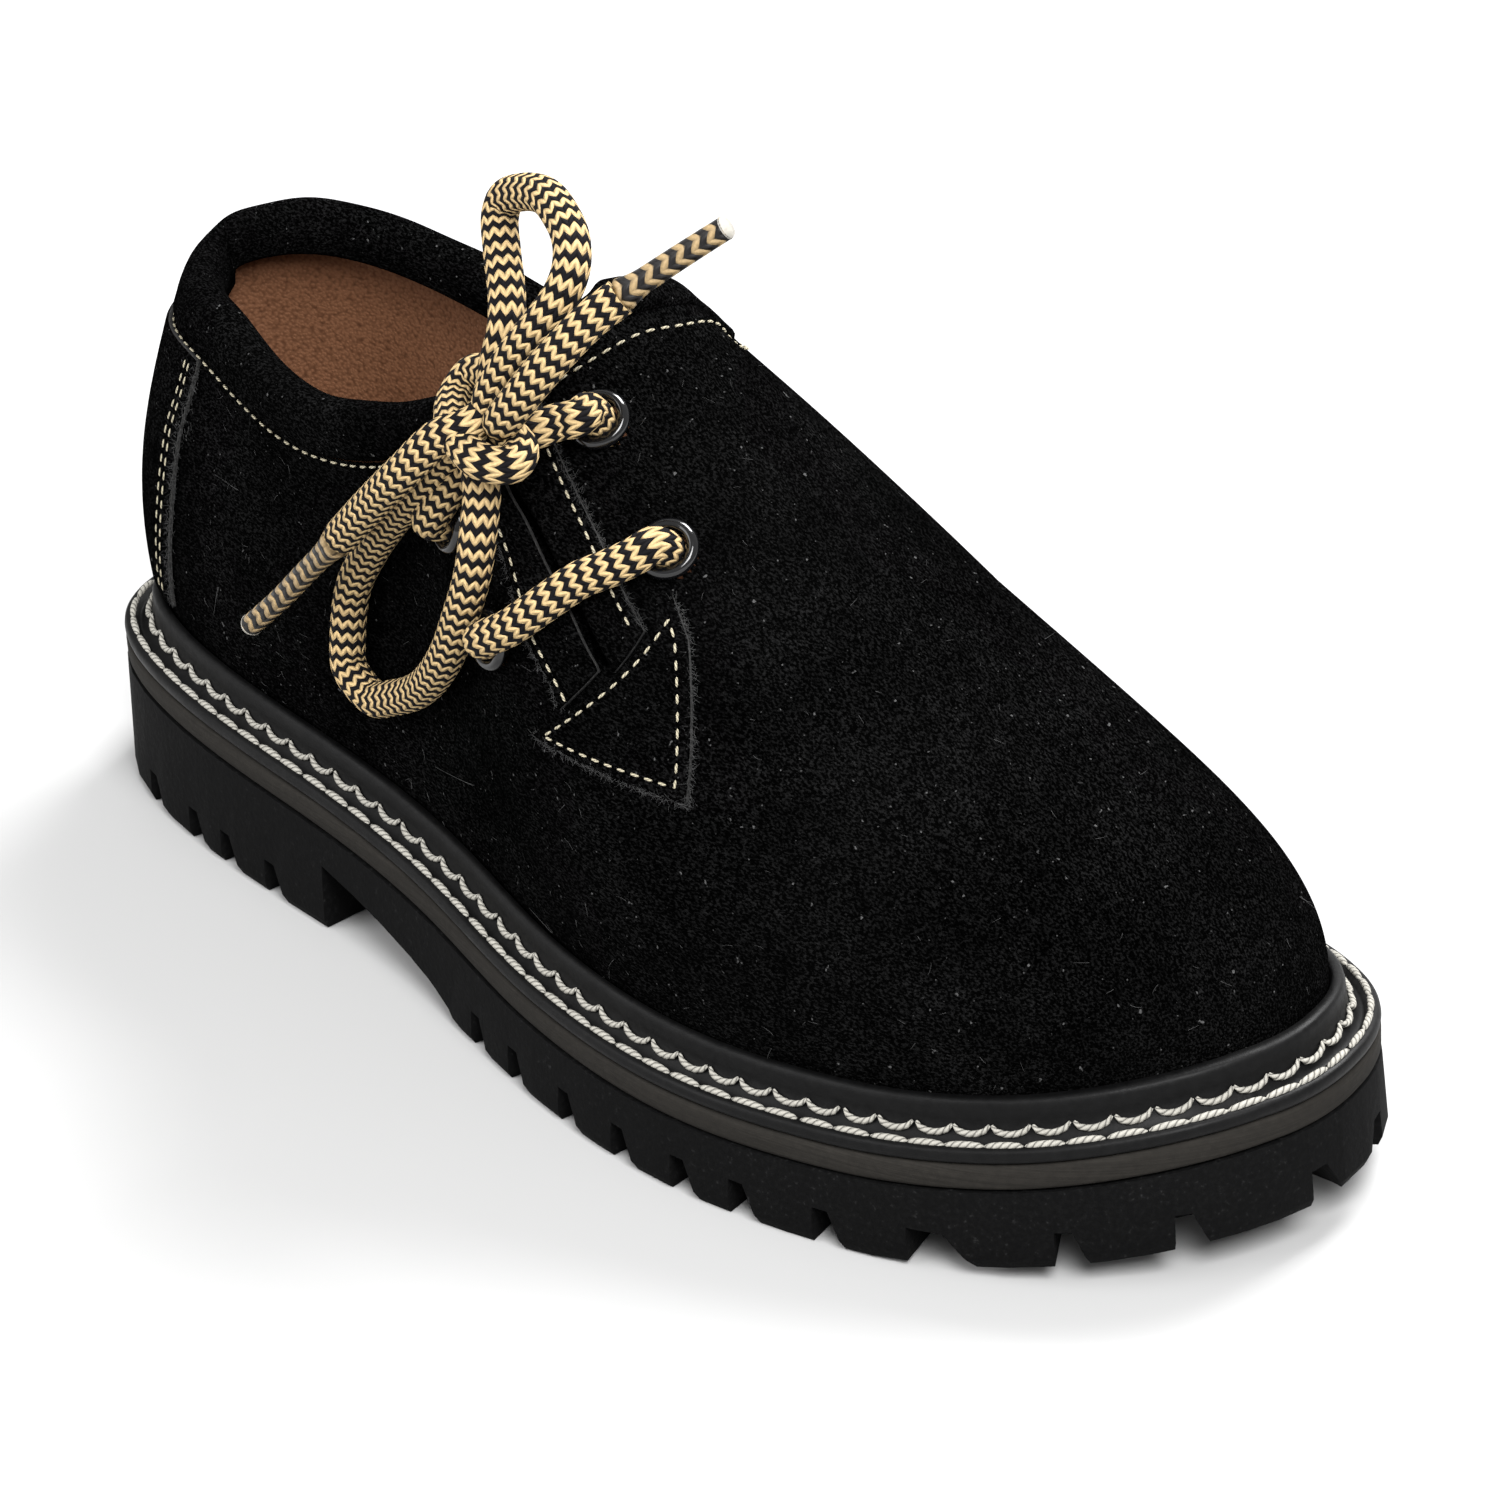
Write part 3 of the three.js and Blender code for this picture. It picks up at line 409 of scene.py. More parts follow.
def band_material():
    """Brushed brown-grey side of the midsole, with fine lines that run along it."""
    m = Nodes("midsole_band")
    lines = m.noise(1.0, 5, m.stretched((45.0, 45.0, 3200.0)), 0.7)
    fine = m.noise(900, 3)
    brushed = m.ramp(lines, [(0.3, (0.0150, 0.0138, 0.0122)), (0.7, (0.0250, 0.0228, 0.0200))])
    colour = m.mix(m.ramp(fine, [(0.35, 0.0), (0.7, 0.35)]), brushed, (0.0095, 0.0088, 0.0080))
    normal = m.bump(lines, 0.00025, 0.5, m.bump(fine, 0.0002, 0.5))
    return m.finish(colour, 0.78, normal, Specular_IOR_Level=0.06)


def welt_material():
    """Black leather with a low, uneven shine."""
    m = Nodes("welt_leather")
    fine = m.noise(700, 4)
    colour = m.ramp(fine, [(0.3, (0.0014, 0.0014, 0.0015)), (0.7, (0.0034, 0.0034, 0.0035))])
    rough = m.ramp(m.noise(120, 3), [(0.3, 0.42), (0.7, 0.58)])
    return m.finish(colour, rough, m.bump(fine, 0.00018, 0.55), Specular_IOR_Level=0.13)


def edge_material():
    """Cut edge of the suede strips, paler and fibrous."""
    m = Nodes("raw_edge")
    fibre = m.noise(1700, 4)
    colour = m.ramp(fibre, [(0.42, (0.003, 0.003, 0.003)), (0.74, (0.034, 0.033, 0.031))])
    return m.finish(colour, 0.95, m.bump(fibre, 0.0003, 0.8))


def enamel_material():
    """Glossy black enamel of the eyelets."""
    m = Nodes("black_enamel")
    normal = m.bump(m.noise(500, 2), 0.00004, 0.4)
    return m.finish((0.003, 0.003, 0.0034), 0.10, normal, Specular_IOR_Level=0.55)


def fibre_material():
    return Nodes("fibre").finish((0.075, 0.075, 0.075), 1.0, Specular_IOR_Level=0.0)


def clear_material():
    """Cloudy end of a lace tip."""
    m = Nodes("clear_tip")
    return m.finish((0.36, 0.34, 0.30), 0.45, m.bump(m.noise(900, 3), 0.0003, 0.8))


def thread_material(name, colour, dark, twists):
    """Twisted thread: slanted plies from the mesh's UV, u round and v along in millimetres, with painted
    shade in the grooves between them.
    """
    m = Nodes(name)
    parts = m.add("ShaderNodeSeparateXYZ", {"Vector": m.add("ShaderNodeUVMap").outputs["UV"]})
    turns = m.math("MULTIPLY", parts.outputs["Y"], twists)
    phase = m.math("ADD", turns, m.math("MULTIPLY", parts.outputs["X"], 2.0))
    ply = m.math("ABSOLUTE", m.math("SINE", m.math("MULTIPLY", phase, math.pi)))
    # painted shade: the grooves between the plies are painted dark
    tone = m.mix(m.ramp(ply, [(0.05, 1.0), (0.55, 0.0)]), colour, dark)
    dusty = m.mix(m.math("MULTIPLY", m.noise(1500, 2), 0.45), tone, dark)
    return m.finish(dusty, 0.75, m.bump(ply, 0.00025, 0.8), Specular_IOR_Level=0.3)


def lace_material(name, row, strands, pale, dark, coat=0.0):
    """Braid of zigzag rows: v along in millimetres sets the row, u round the strand."""
    m = Nodes(name)
    parts = m.add("ShaderNodeSeparateXYZ", {"Vector": m.add("ShaderNodeUVMap").outputs["UV"]})
    u = m.math("MULTIPLY", parts.outputs["X"], float(strands))
    fold = m.math("ABSOLUTE", m.math("SUBTRACT", m.math("FRACT", u), 0.5))
    v = m.math("DIVIDE", parts.outputs["Y"], row)
    level = m.math("ADD", v, m.math("MULTIPLY", fold, 0.80))
    tan_row = m.math("LESS_THAN", m.math("FRACT", level), 0.52)
    # each row is a chain of plump stitches: a bulge across the row and along each half fold, with painted
    # shade in the hollows between bulges
    across = m.math("ABSOLUTE", m.math("SINE", m.math("MULTIPLY", level, 2 * math.pi)))
    along = m.math("ABSOLUTE", m.math("SINE", m.math("MULTIPLY", u, 2 * math.pi)))
    plump = m.math("ADD", m.math("MULTIPLY", across, 0.6), m.math("MULTIPLY", along, 0.4))
    fibre = m.noise(2300, 3)
    light = m.mix(m.ramp(fibre, [(0.35, 0.0), (0.75, 0.6)]), pale, tuple(c * 0.5 for c in pale))
    body = m.mix(tan_row, dark, light)
    # painted shade: the hollows between the plump stitches are painted darker
    braid_with_painted_shade = m.mix(m.ramp(plump, [(0.10, 0.75), (0.45, 0.0)]), body, tuple(c * 0.35 for c in dark))
    normal = m.bump(plump, 0.00055, 0.9, m.bump(fibre, 0.0001, 0.5))
    return m.finish(braid_with_painted_shade, 0.45 if coat else 0.9, normal, Specular_IOR_Level=0.12, Coat_Weight=coat,
                    Coat_Roughness=0.2)


MATERIALS = {
    "suede": suede_material(), "lining": lining_material(), "rubber": rubber_material(),
    "band": band_material(), "welt": welt_material(), "edge": edge_material(),
    "enamel": enamel_material(), "fibre": fibre_material(), "clear": clear_material(),
    "cream": thread_material("cream_thread", (0.55, 0.50, 0.36), (0.16, 0.14, 0.10), 1.3),
    "grey": thread_material("welt_thread", (0.43, 0.415, 0.37), (0.10, 0.095, 0.085), 0.85),
    "lace": lace_material("lace_weave", 2.35, 10, (0.60, 0.43, 0.215), (0.005, 0.0045, 0.0055)),
    "tip": lace_material("tip_weave", 2.7, 4, (0.36, 0.255, 0.130), (0.010, 0.009, 0.009), coat=0.15),
}


def placed(name, mesh, replaces=()):
    """A mesh as a piece on the shoe's one body, which stands for the CAD nodes that it replaces."""
    piece = bpy.data.objects.new(name, mesh)
    bpy.context.scene.collection.objects.link(piece)
    if replaces:
        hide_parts(*replaces)
    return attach(piece, "root")


def mesh_piece(name, points, faces, materials, replaces=(), uv=None, marks=None):
    """A piece from millimetre points. uv is a pair for each face's corner, marks each face's material."""
    mesh = bpy.data.meshes.new(name)
    mesh.from_pydata(to_row(points).tolist(), [], [list(map(int, f)) for f in faces])
    for key in materials:
        mesh.materials.append(MATERIALS[key])
    if marks is not None:
        mesh.polygons.foreach_set("material_index", np.asarray(marks, np.int32))
    mesh.polygons.foreach_set("use_smooth", np.full(len(mesh.polygons), True))
    if uv is not None:
        layer = mesh.uv_layers.new(name="UVMap")
        layer.data.foreach_set("uv", np.asarray(uv, np.float32).ravel())
    mesh.update()
    return placed(name, mesh, replaces)


def grid_faces(rows, cols, close_rows=False, close_cols=False):
    i = np.arange(rows if close_rows else rows - 1)
    j = np.arange(cols if close_cols else cols - 1)
    a, b = np.meshgrid(i, j, indexing="ij")
    c, d = (a + 1) % rows, (b + 1) % cols
    return np.stack([a * cols + b, a * cols + d, c * cols + d, c * cols + b], -1).reshape(-1, 4)


def mixed(a, b, low, high, s):
    """a where s is low, b where it is high, and evenly between."""
    return (high - s) / (high - low) * a + (s - low) / (high - low) * b


def catmull(points, spacing):
    """Centripetal curve through points, resampled at even steps."""
    p = np.asarray(points, float)
    p = np.vstack([2 * p[0] - p[1], p, 2 * p[-1] - p[-2]])
    t = np.concatenate([[0], np.cumsum(np.linalg.norm(np.diff(p, axis=0), axis=1) ** 0.5)])
    out = []
    for i in range(1, len(p) - 2):
        s = np.linspace(t[i], t[i + 1], 24, endpoint=False)[:, None]
        a1 = mixed(p[i - 1], p[i], t[i - 1], t[i], s)
        a2 = mixed(p[i], p[i + 1], t[i], t[i + 1], s)
        a3 = mixed(p[i + 1], p[i + 2], t[i + 1], t[i + 2], s)
        b1 = mixed(a1, a2, t[i - 1], t[i + 1], s)
        b2 = mixed(a2, a3, t[i], t[i + 2], s)
        out.append(mixed(b1, b2, t[i], t[i + 1], s))
    return resample(np.vstack([*out, p[-2:-1]]), spacing)


def run_along(points):
    """Distance from the first point to each point, along the line."""
    return np.concatenate([[0], np.cumsum(np.linalg.norm(np.diff(points, axis=0), axis=1))])


def resample(points, spacing):
    run = run_along(points)
    at = np.linspace(0, run[-1], max(3, int(round(run[-1] / spacing)) + 1))
    return np.stack([np.interp(at, run, points[:, k]) for k in range(3)], -1)


def tube_mesh(path, radius, sides):
    """Points, faces and uv of a tube with rounded closed ends; radius may vary along it."""
    path = np.asarray(path, float)
    n = len(path)
    radius = np.broadcast_to(np.asarray(radius, float), (n,))
    tangent = unit(np.gradient(path, axis=0))
    side = np.cross(tangent[0], (0, 0, 1) if abs(tangent[0][2]) < 0.9 else (1, 0, 0))
    sections = []
    angle = 2 * math.pi * np.arange(sides) / sides
    for i in range(n):
        side = side - tangent[i] * (side @ tangent[i])
        side = side / np.linalg.norm(side)
        other = np.cross(tangent[i], side)
        ring = path[i] + radius[i] * (np.cos(angle)[:, None] * side + np.sin(angle)[:, None] * other)
        sections.append(ring)
    points = np.vstack([*sections, path[:1], path[-1:]])
    faces = [list(f) for f in grid_faces(n, sides, close_cols=True)]
    run = run_along(path)
    uv = []
    for i in range(n - 1):
        for j in range(sides):
            a, b = j / sides, (j + 1) / sides
            uv += [(a, run[i]), (b, run[i]), (b, run[i + 1]), (a, run[i + 1])]
    for centre, row, flip in ((n * sides, 0, True), (n * sides + 1, n - 1, False)):
        for j in range(sides):
            a, b = row * sides + j, row * sides + (j + 1) % sides
            faces.append([centre, b, a] if flip else [centre, a, b])
            uv += [(0.5, run[row]), ((j + 1) / sides, run[row]), (j / sides, run[row])]
    return points, faces, uv


# The bow's runs, with the CAD source's points. FRONT and REAR start two points earlier, in their eyelets
FRONT = [(123.1, -12.0, 94.0), (124.0, -13.6, 97.6), (124.6, -16.0, 100.2), (125.7, -18.5, 100.4),
         (124.2, -21.5, 100.3), (123.2, -25.0, 100.0)]
REAR = [(103.9, -23.5, 78.0), (103.0, -27.0, 78.9), (102.9, -29.2, 80.0), (106.0, -29.6, 84.2),
        (110.0, -28.6, 90.0), (112.5, -28.0, 95.0)]
LOOP_UPPER = [(113.7, -24.0, 102.2), (113.6, -22.5, 107.1), (113.9, -21.0, 111.4), (111.6, -18.5, 115.1),
              (106.9, -15.0, 119.5), (103.9, -12.5, 123.0), (104.1, -11.5, 125.4), (108.8, -12.0, 128.2),
              (115.8, -13.5, 130.3), (120.3, -15.0, 130.0), (125.8, -17.5, 128.1), (128.4, -20.0, 125.2),
              (128.8, -22.5, 122.1), (127.2, -25.0, 118.3), (123.6, -27.0, 113.2), (120.5, -28.0, 108.3),
              (118.5, -28.5, 103.5)]
LOOP_LOWER = [(112.5, -30.5, 96.0), (109.2, -30.5, 93.0), (103.9, -30.5, 87.0), (93.3, -28.3, 77.1),
              (83.1, -26.2, 66.2), (78.0, -26.0, 58.3), (77.3, -27.3, 50.3), (78.5, -28.4, 46.1),
              (84.9, -29.2, 43.6), (90.1, -29.7, 45.8), (99.2, -31.0, 51.4), (109.1, -33.4, 61.5),
              (115.3, -34.5, 71.6), (118.7, -34.5, 79.2), (119.7, -33.5, 86.3), (119.2, -32.0, 91.1),
              (118.2, -31.0, 95.5)]
BAND = [(105.7, -24.5, 99.5), (110.1, -29.0, 98.9), (117.3, -33.0, 98.7), (123.3, -34.0, 98.4),
        (126.1, -31.5, 98.2), (124.4, -28.5, 99.0)]
END_UPPER = [(123.8, -30.3, 104.3), (129.8, -29.5, 111.6), (133.5, -27.0, 116.9), (136.5, -23.5, 121.4),
             (138.7, -20.0, 124.1)]
END_LOWER = [(112.8, -33.5, 98.8), (106.3, -35.5, 92.0), (97.5, -35.0, 83.7), (87.5, -34.0, 74.0)]
TIP_UPPER = [(138.9, -19.4, 124.5), (142.7, -16.6, 127.9), (146.5, -13.4, 131.3), (150.5, -10.0, 134.8)]
TIP_LOWER = [(86.0, -33.9, 72.5), (78.1, -33.6, 65.0), (70.2, -34.0, 57.0), (63.2, -34.8, 50.4)]
# inside the knot, from a strand that comes in to the next one that goes out
IN_FRONT = [(118.5, -28.5, 98.5)]
IN_LOOP = [(118.5, -27.6, 99.8)]
IN_BAND = [(106.0, -21.5, 102.0), (111.5, -22.0, 103.5), (116.5, -26.0, 103.0), (117.5, -31.0, 101.5)]


def lace_piece(name, path, key, replaces, radius=LACE / 2, sides=28):
    points, faces, uv = tube_mesh(path, radius, sides)
    return mesh_piece(name, points, faces, [key], replaces, uv)


def make_tip(name, points):
    """A stiffened lace tip that replaces its node, and the clear cap on its end."""
    path = catmull(points, CORD_STEP)
    radius = np.interp(np.linspace(0, 1, len(path)), [0, 0.10, 0.2, 1],
                       [LACE / 2 - 0.3, TIP / 2 + 0.2, TIP / 2, TIP / 2 - 0.1])
    tip = lace_piece(name + "_look", path, "tip", [name], radius)
    ahead = unit(path[-1] - path[-2])
    cap = resample(np.array([path[-1] - 0.2 * ahead, path[-1] + 0.5 * ahead]), 0.3)
    points, faces, _ = tube_mesh(cap, np.linspace(TIP / 2 - 0.02, TIP / 2 - 0.35, len(cap)), 20)
    return [tip, mesh_piece(name + "_end", points, faces, ["clear"])]


def make_laces():
    """Two free cords, from a top eyelet through the knot, round a loop and out to a tip, and the bar."""
    upper, lower = make_tip("aglet_upper", TIP_UPPER), make_tip("aglet_lower", TIP_LOWER)
    first = FRONT + IN_FRONT + LOOP_LOWER + IN_LOOP + END_UPPER
    second = REAR + LOOP_UPPER + BAND[::-1] + IN_BAND + END_LOWER
    for name, points, nodes, tip in (
            ("lace_first", first, ["lace_front", "loop_lower", "end_upper"], upper),
            ("lace_second", second, ["lace_rear", "loop_upper", "lace_knot", "end_lower"], lower)):
        path = catmull(points, CORD_STEP)
        lace = lace_piece(name, path, "lace", nodes)
    bar = catmull([lifted(u, t, lift) for u, t, lift in BAR], CORD_STEP)
    lace_piece("lace_bar_look", bar, "lace", ["lace_bar"])


make_laces()


def joined(parts):
    """Points, faces and uv of several parts as one mesh's."""
    points, faces, uv, base = [], [], [], 0
    for p, f, w in parts:
        points.append(p)
        faces += [[i + base for i in face] for face in f]
        uv += w
        base += len(p)
    return np.vstack(points), faces, uv


def stitch_row(line, normals, pitch, share, radius, bury, arch):
    """Points, faces and uv of a row of short thread stitches laid along a line."""
    run = run_along(line)
    count = max(1, int(round(run[-1] / pitch)))
    step = run[-1] / count
    stitches = []
    rng = np.random.default_rng(7)
    profile = np.array([0.0, 0.12, 0.32, 0.5, 0.68, 0.88, 1.0])
    thick = radius * np.array([0.45, 0.85, 1.0, 1.0, 1.0, 0.85, 0.45])
    lift = -bury + arch * np.sin(np.pi * profile) ** 0.5
    for k in range(count):
        middle = (k + 0.5) * step + rng.normal(0, 0.02 * pitch)
        half = 0.5 * share * step * (1 + rng.normal(0, 0.03))
        at = np.clip(middle + (profile * 2 - 1) * half, 0, run[-1])
        spine = np.stack([np.interp(at, run, line[:, c]) for c in range(3)], -1)
        normal = unit(np.stack([np.interp(at, run, normals[:, c]) for c in range(3)], -1))
        stitches.append(tube_mesh(spine + normal * lift[:, None], thick, 8))
    return joined(stitches)


def stitch_piece(name, lines, key, stitch):
    """Rows of stitches as one piece: each line has its points and its normals."""
    points, faces, uv = joined([stitch_row(line, normals, *stitch) for line, normals in lines])
    return mesh_piece(name, points, faces, [key], (), uv)


def skin_line(u, t, lift):
    return lifted(u, t, lift), skin_frame(u, t)[2]


def smoothed(name, node, key, bevel):
    """A CAD solid's own shape, joined at its shared corners, smoothed, with a small round on its edges."""
    sharp = math.radians(32)
    mesh = bpy.data.meshes.new(name)
    work = bmesh.new()
    work.from_mesh(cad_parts[node].data)
    bmesh.ops.remove_doubles(work, verts=work.verts, dist=2e-6)
    work.to_mesh(mesh)
    work.free()
    mesh.materials.append(MATERIALS[key])
    mesh.polygons.foreach_set("use_smooth", np.full(len(mesh.polygons), True))
    mesh.set_sharp_from_angle(angle=sharp)
    piece = placed(name, mesh, [node])
    rounding = piece.modifiers.new("round", "BEVEL")
    rounding.width = bevel / 1000
    rounding.segments = 2
    rounding.limit_method = "ANGLE"
    rounding.angle_limit = sharp
    rounding.harden_normals = False


def swept(name, sections, key, replaces, closed=True):
    """Closed profile swept round the foot: sections is runs by profile points."""
    rows, cols = sections.shape[:2]
    faces = [list(f) for f in grid_faces(rows, cols, close_rows=closed, close_cols=True)]
    if not closed:
        faces += [list(range(cols))[::-1], [(rows - 1) * cols + j for j in range(cols)]]
    return mesh_piece(name, sections.reshape(-1, 3), faces, [key], replaces)


def rounded(profile, per):
    """Closed smooth loop through profile points."""
    p = np.array(profile, float)
    n = len(p)
    out = []
    for i in range(n):
        a, b, c, d = p[i - 1], p[i], p[(i + 1) % n], p[(i + 2) % n]
        for s in np.arange(per) / per:
            square, cube = (2 * a - 5 * b + 4 * c - d) * s * s, (3 * b - a - 3 * c + d) * s ** 3
            out.append(0.5 * (2 * b + (c - a) * s + square + cube))
    return np.array(out)


def make_sole():
    smoothed("outsole_look", "outsole", "rubber", 0.5)
    p, n, s = edge(np.arange(420) / 420)
    low = band_low(s)
    rings = [np.concatenate([p - n * inset, (low + h)[:, None]], -1) for inset, h in MIDSOLE_PROFILE]
    swept("midsole_look", np.stack(rings, 1), "band", ["midsole"])


def make_welt():
    """Welt with its stitch shelf and a raised rim that meets the upper, and two rows of stitches."""
    u = np.arange(520) / 520
    inner = skin_inset(u, RIM - FEATHER_RISE) - 0.25
    foot = FEATHER_INSET - 0.4
    rings = [edge_point(u, inset, h) for inset, h in WELT_PROFILE]
    rings.append(edge_point(u, np.maximum(inner - 0.3, MARGIN + 1.0), RIM - 0.02))
    rings.append(edge_point(u, np.maximum(inner, MARGIN + 1.2), RIM - 0.5))
    rings += [edge_point(u, foot, FEATHER_RISE), edge_point(u, foot, CLEAR)]
    swept("welt_look", np.stack(rings, 1), "welt", ["welt"])
    line = np.arange(2401) / 2400
    up = np.tile((0.0, 0.0, 1.0), (len(line), 1))
    outward = np.concatenate([edge(line)[1], np.zeros((len(line), 1))], -1)
    outer_row = (edge_point(line, 1.6, SHELF - 0.05), up)
    inner_row = (edge_point(line, MARGIN - 0.95, SHELF + 0.25), unit(up - 0.45 * outward))
    stitch_piece("welt_stitches_outer", [outer_row], "grey", WELT_OUTER)
    stitch_piece("welt_stitches_inner", [inner_row], "grey", WELT_INNER)


def make_upper():
    """Outer suede and inner lining as two fine surfaces, open at the slit and the four eyelets."""
    cols, rows, tuck = 560, 150, 1.2
    u, t = np.meshgrid(np.arange(cols) / cols, np.linspace(0, 1, rows), indexing="ij")
    outer = skin(u, t)
    normal = skin_frame(u, t)[2]
    ease = np.sin(np.pi * np.clip(t, 0, 1))
    drift = 0.22 * np.sin(9.2 * 2 * np.pi * u + 5 * t) * np.sin(7.0 * t + 3.1 * np.sin(2 * np.pi * u)) * ease
    outer = outer + normal * drift[..., None]
    outer[:, 0, 2] -= tuck
    holes = np.zeros((cols, rows), bool)
    for eu, et in EYELETS.values():
        centre, axis = skin(eu, et), skin_frame(eu, et)[2]
        away = outer - centre
        height = (away * axis).sum(-1)
        beside_axis = np.linalg.norm(away - height[..., None] * axis, axis=-1)
        holes |= (beside_axis < EYELET_HOLE) & (np.abs(height) < 5)
    gap = np.abs(u - slit_at(t))
    step = np.linalg.norm(skin(u + 0.001, t) - skin(u - 0.001, t), axis=-1) / 0.002
    beside = gap * step - SLIT_SPREAD * (t - SLIT_END)
    slit = (t > SLIT_END) & (beside < SLIT_HALF)
    lining_slit = (t > LINING_SLIT_END) & (beside < LINING_SLIT_HALF)
    face = grid_faces(cols, rows, close_rows=True)
    keep = ~(holes | slit).reshape(-1)[face].any(1)
    keep_lining = ~(holes | lining_slit).reshape(-1)[face].any(1)
    mesh_piece("upper_look", outer.reshape(-1, 3), face[keep], ["suede"], ["upper"])
    inner = skin(u, t) - normal * (WALL - CLEAR)
    inner[:, 0, 2] -= tuck
    mesh_piece("lining", inner.reshape(-1, 3), face[keep_lining][:, ::-1], ["lining"])


def suede_sheet(node, grid, low=PLY_LOW, high=PLY_HIGH):
    """A node's suede ply, between two lifts off the skin over a grid of (u, t), with a raw cut side."""
    grid = np.array(grid, float)
    rows, cols = grid.shape[:2]
    lift = np.full((rows, cols), high - PLY_ROUND)
    lift[1:-1, 1:-1] = high
    top = lifted(grid[..., 0], grid[..., 1], lift)
    bottom = lifted(grid[..., 0], grid[..., 1], low)
    points = np.vstack([bottom.reshape(-1, 3), top.reshape(-1, 3)])
    face = grid_faces(rows, cols)
    above = rows * cols
    faces = [list(f[::-1]) for f in face] + [list(f + above) for f in face]
    rim = [(0, j) for j in range(cols)] + [(i, cols - 1) for i in range(1, rows)]
    rim += [(rows - 1, j) for j in range(cols - 2, -1, -1)] + [(i, 0) for i in range(rows - 2, 0, -1)]
    index = [i * cols + j for i, j in rim]
    faces += [[a, b, b + above, a + above] for a, b in zip(index, index[1:] + index[:1])]
    marks = [0] * (2 * len(face)) + [1] * len(index)
    mesh_piece(node + "_look", points, faces, ["suede", "edge"], [node], marks=marks)


def strip_row(start, end):
    """Points of one row of a facing, from (u, t) to (u, t)."""
    return [(s * end[0] + (1 - s) * start[0], start[1] + (end[1] - start[1]) * s)
            for s in np.linspace(0, 1, 14)]


def make_overlays():
    """Back stay, the two facings beside the slit, the corner patch and their stitches."""
    stay = [[(k * stay_at(t), t) for k in np.linspace(-1, 1, 60)] for t in np.linspace(0.14, PLY_TOP, 90)]
    suede_sheet("heel_stay", stay)
    front, rear = [], []
    for k in np.linspace(0, 1, 90):
        a, b = (PLY_TOP + (end - PLY_TOP) * k for end in FACING_FRONT_END)
        front.append(strip_row((slit_at(a) + FACING_SIDE, a), (front_at(b), b)))
        a, b = (PLY_TOP + (end - PLY_TOP) * k for end in FACING_REAR_END)
        rear.append(strip_row((rear_at(b), b), (slit_at(a) - FACING_SIDE, a)))
    suede_sheet("facing_front", front)
    suede_sheet("facing_rear", rear)
    heel_side, top, fore, bottom = np.array(PATCH)
    patch = [[(heel_side * (1 - s) + top * s) * (1 - r) + (bottom * (1 - s) + fore * s) * r
              for s in np.linspace(0, 1, 50)] for r in np.linspace(0, 1, 40)]
    suede_sheet("corner_patch", patch, high=PLY_HIGH + PATCH_RISE)
    line = np.linspace(0.99, 0.700, 200)
    seams = [skin_line(front_at(line) - FACING_SEAM, line, PLY_HIGH)]
    line = np.linspace(0.99, 0.590, 200)
    seams.append(skin_line(rear_at(line) + FACING_SEAM, line, PLY_HIGH))
    sides = zip(PATCH_SEAM, PATCH_SEAM[1:] + PATCH_SEAM[:1])
    run = np.vstack([np.linspace(start, end, 80) for start, end in sides])
    seams.append(skin_line(run[:, 0], run[:, 1], PLY_HIGH + PATCH_RISE))
    collar_seam = np.linspace(slit_at(1) + 0.008, 1 + slit_at(1) - 0.008, 1600)
    seams.append(skin_line(collar_seam, PLY_TOP, 0.15))
    stitch_piece("upper_stitches", seams, "cream", SEAM_STITCH)
    line = np.linspace(0.17, 0.97, 300)
    stay_rows = [skin_line(sign * (stay_at(line) - back), line, PLY_HIGH)
                 for sign in (-1, 1) for back in (0.0045, 0.0078)]
    stitch_piece("stay_stitches", stay_rows, "cream", STAY_STITCH)


def fibres(name, roots, directions, length, radius, seed, steps=4):
    """Loose curled fibres as thin three-sided tubes, merged into one piece."""
    rng = np.random.default_rng(seed)
    tubes = []
    for root, direction in zip(roots, directions):
        size = length * rng.uniform(0.5, 1.3)
        bend = unit(rng.normal(size=3)) * size * rng.uniform(0.1, 0.5)
        at = np.linspace(0, 1, steps)[:, None]
        spine = root + direction * size * at + bend * at * at
        tubes.append(tube_mesh(spine, radius * np.linspace(1.0, 0.4, steps), 3))
    points, faces, uv = joined(tubes)
    return mesh_piece(name, points, faces, ["fibre"], (), uv)


def strewn(rng, along, up, n, rise):
    """Random directions over the skin, each with a rise off it."""
    ahead, aside = rng.normal(0, 1, (len(n), 1)), rng.normal(0, 1, (len(n), 1))
    return unit(along * ahead + up * aside + rise * n)


def fuzz_along(lines, per_mm, spread, seed):
    """Roots and directions of fibres scattered along cut edges, given as runs of u and t."""
    rng = np.random.default_rng(seed)
    roots, directions = [], []
    for u, t in lines:
        run = run_along(skin(u, t))
        at = rng.uniform(0, run[-1], int(run[-1] * per_mm))
        uu, tt = np.interp(at, run, u), np.interp(at, run, t)
        along, up, n = skin_frame(uu, tt)
        off = rng.normal(0, spread, (len(at), 2))
        lift = rng.uniform(PLY_LOW, PLY_HIGH - 0.1, len(at))
        roots.append(lifted(uu, tt, lift) + along * off[:, :1] + up * off[:, 1:])
        directions.append(strewn(rng, along, up, n, 0.35))
    return np.vstack(roots), np.vstack(directions)


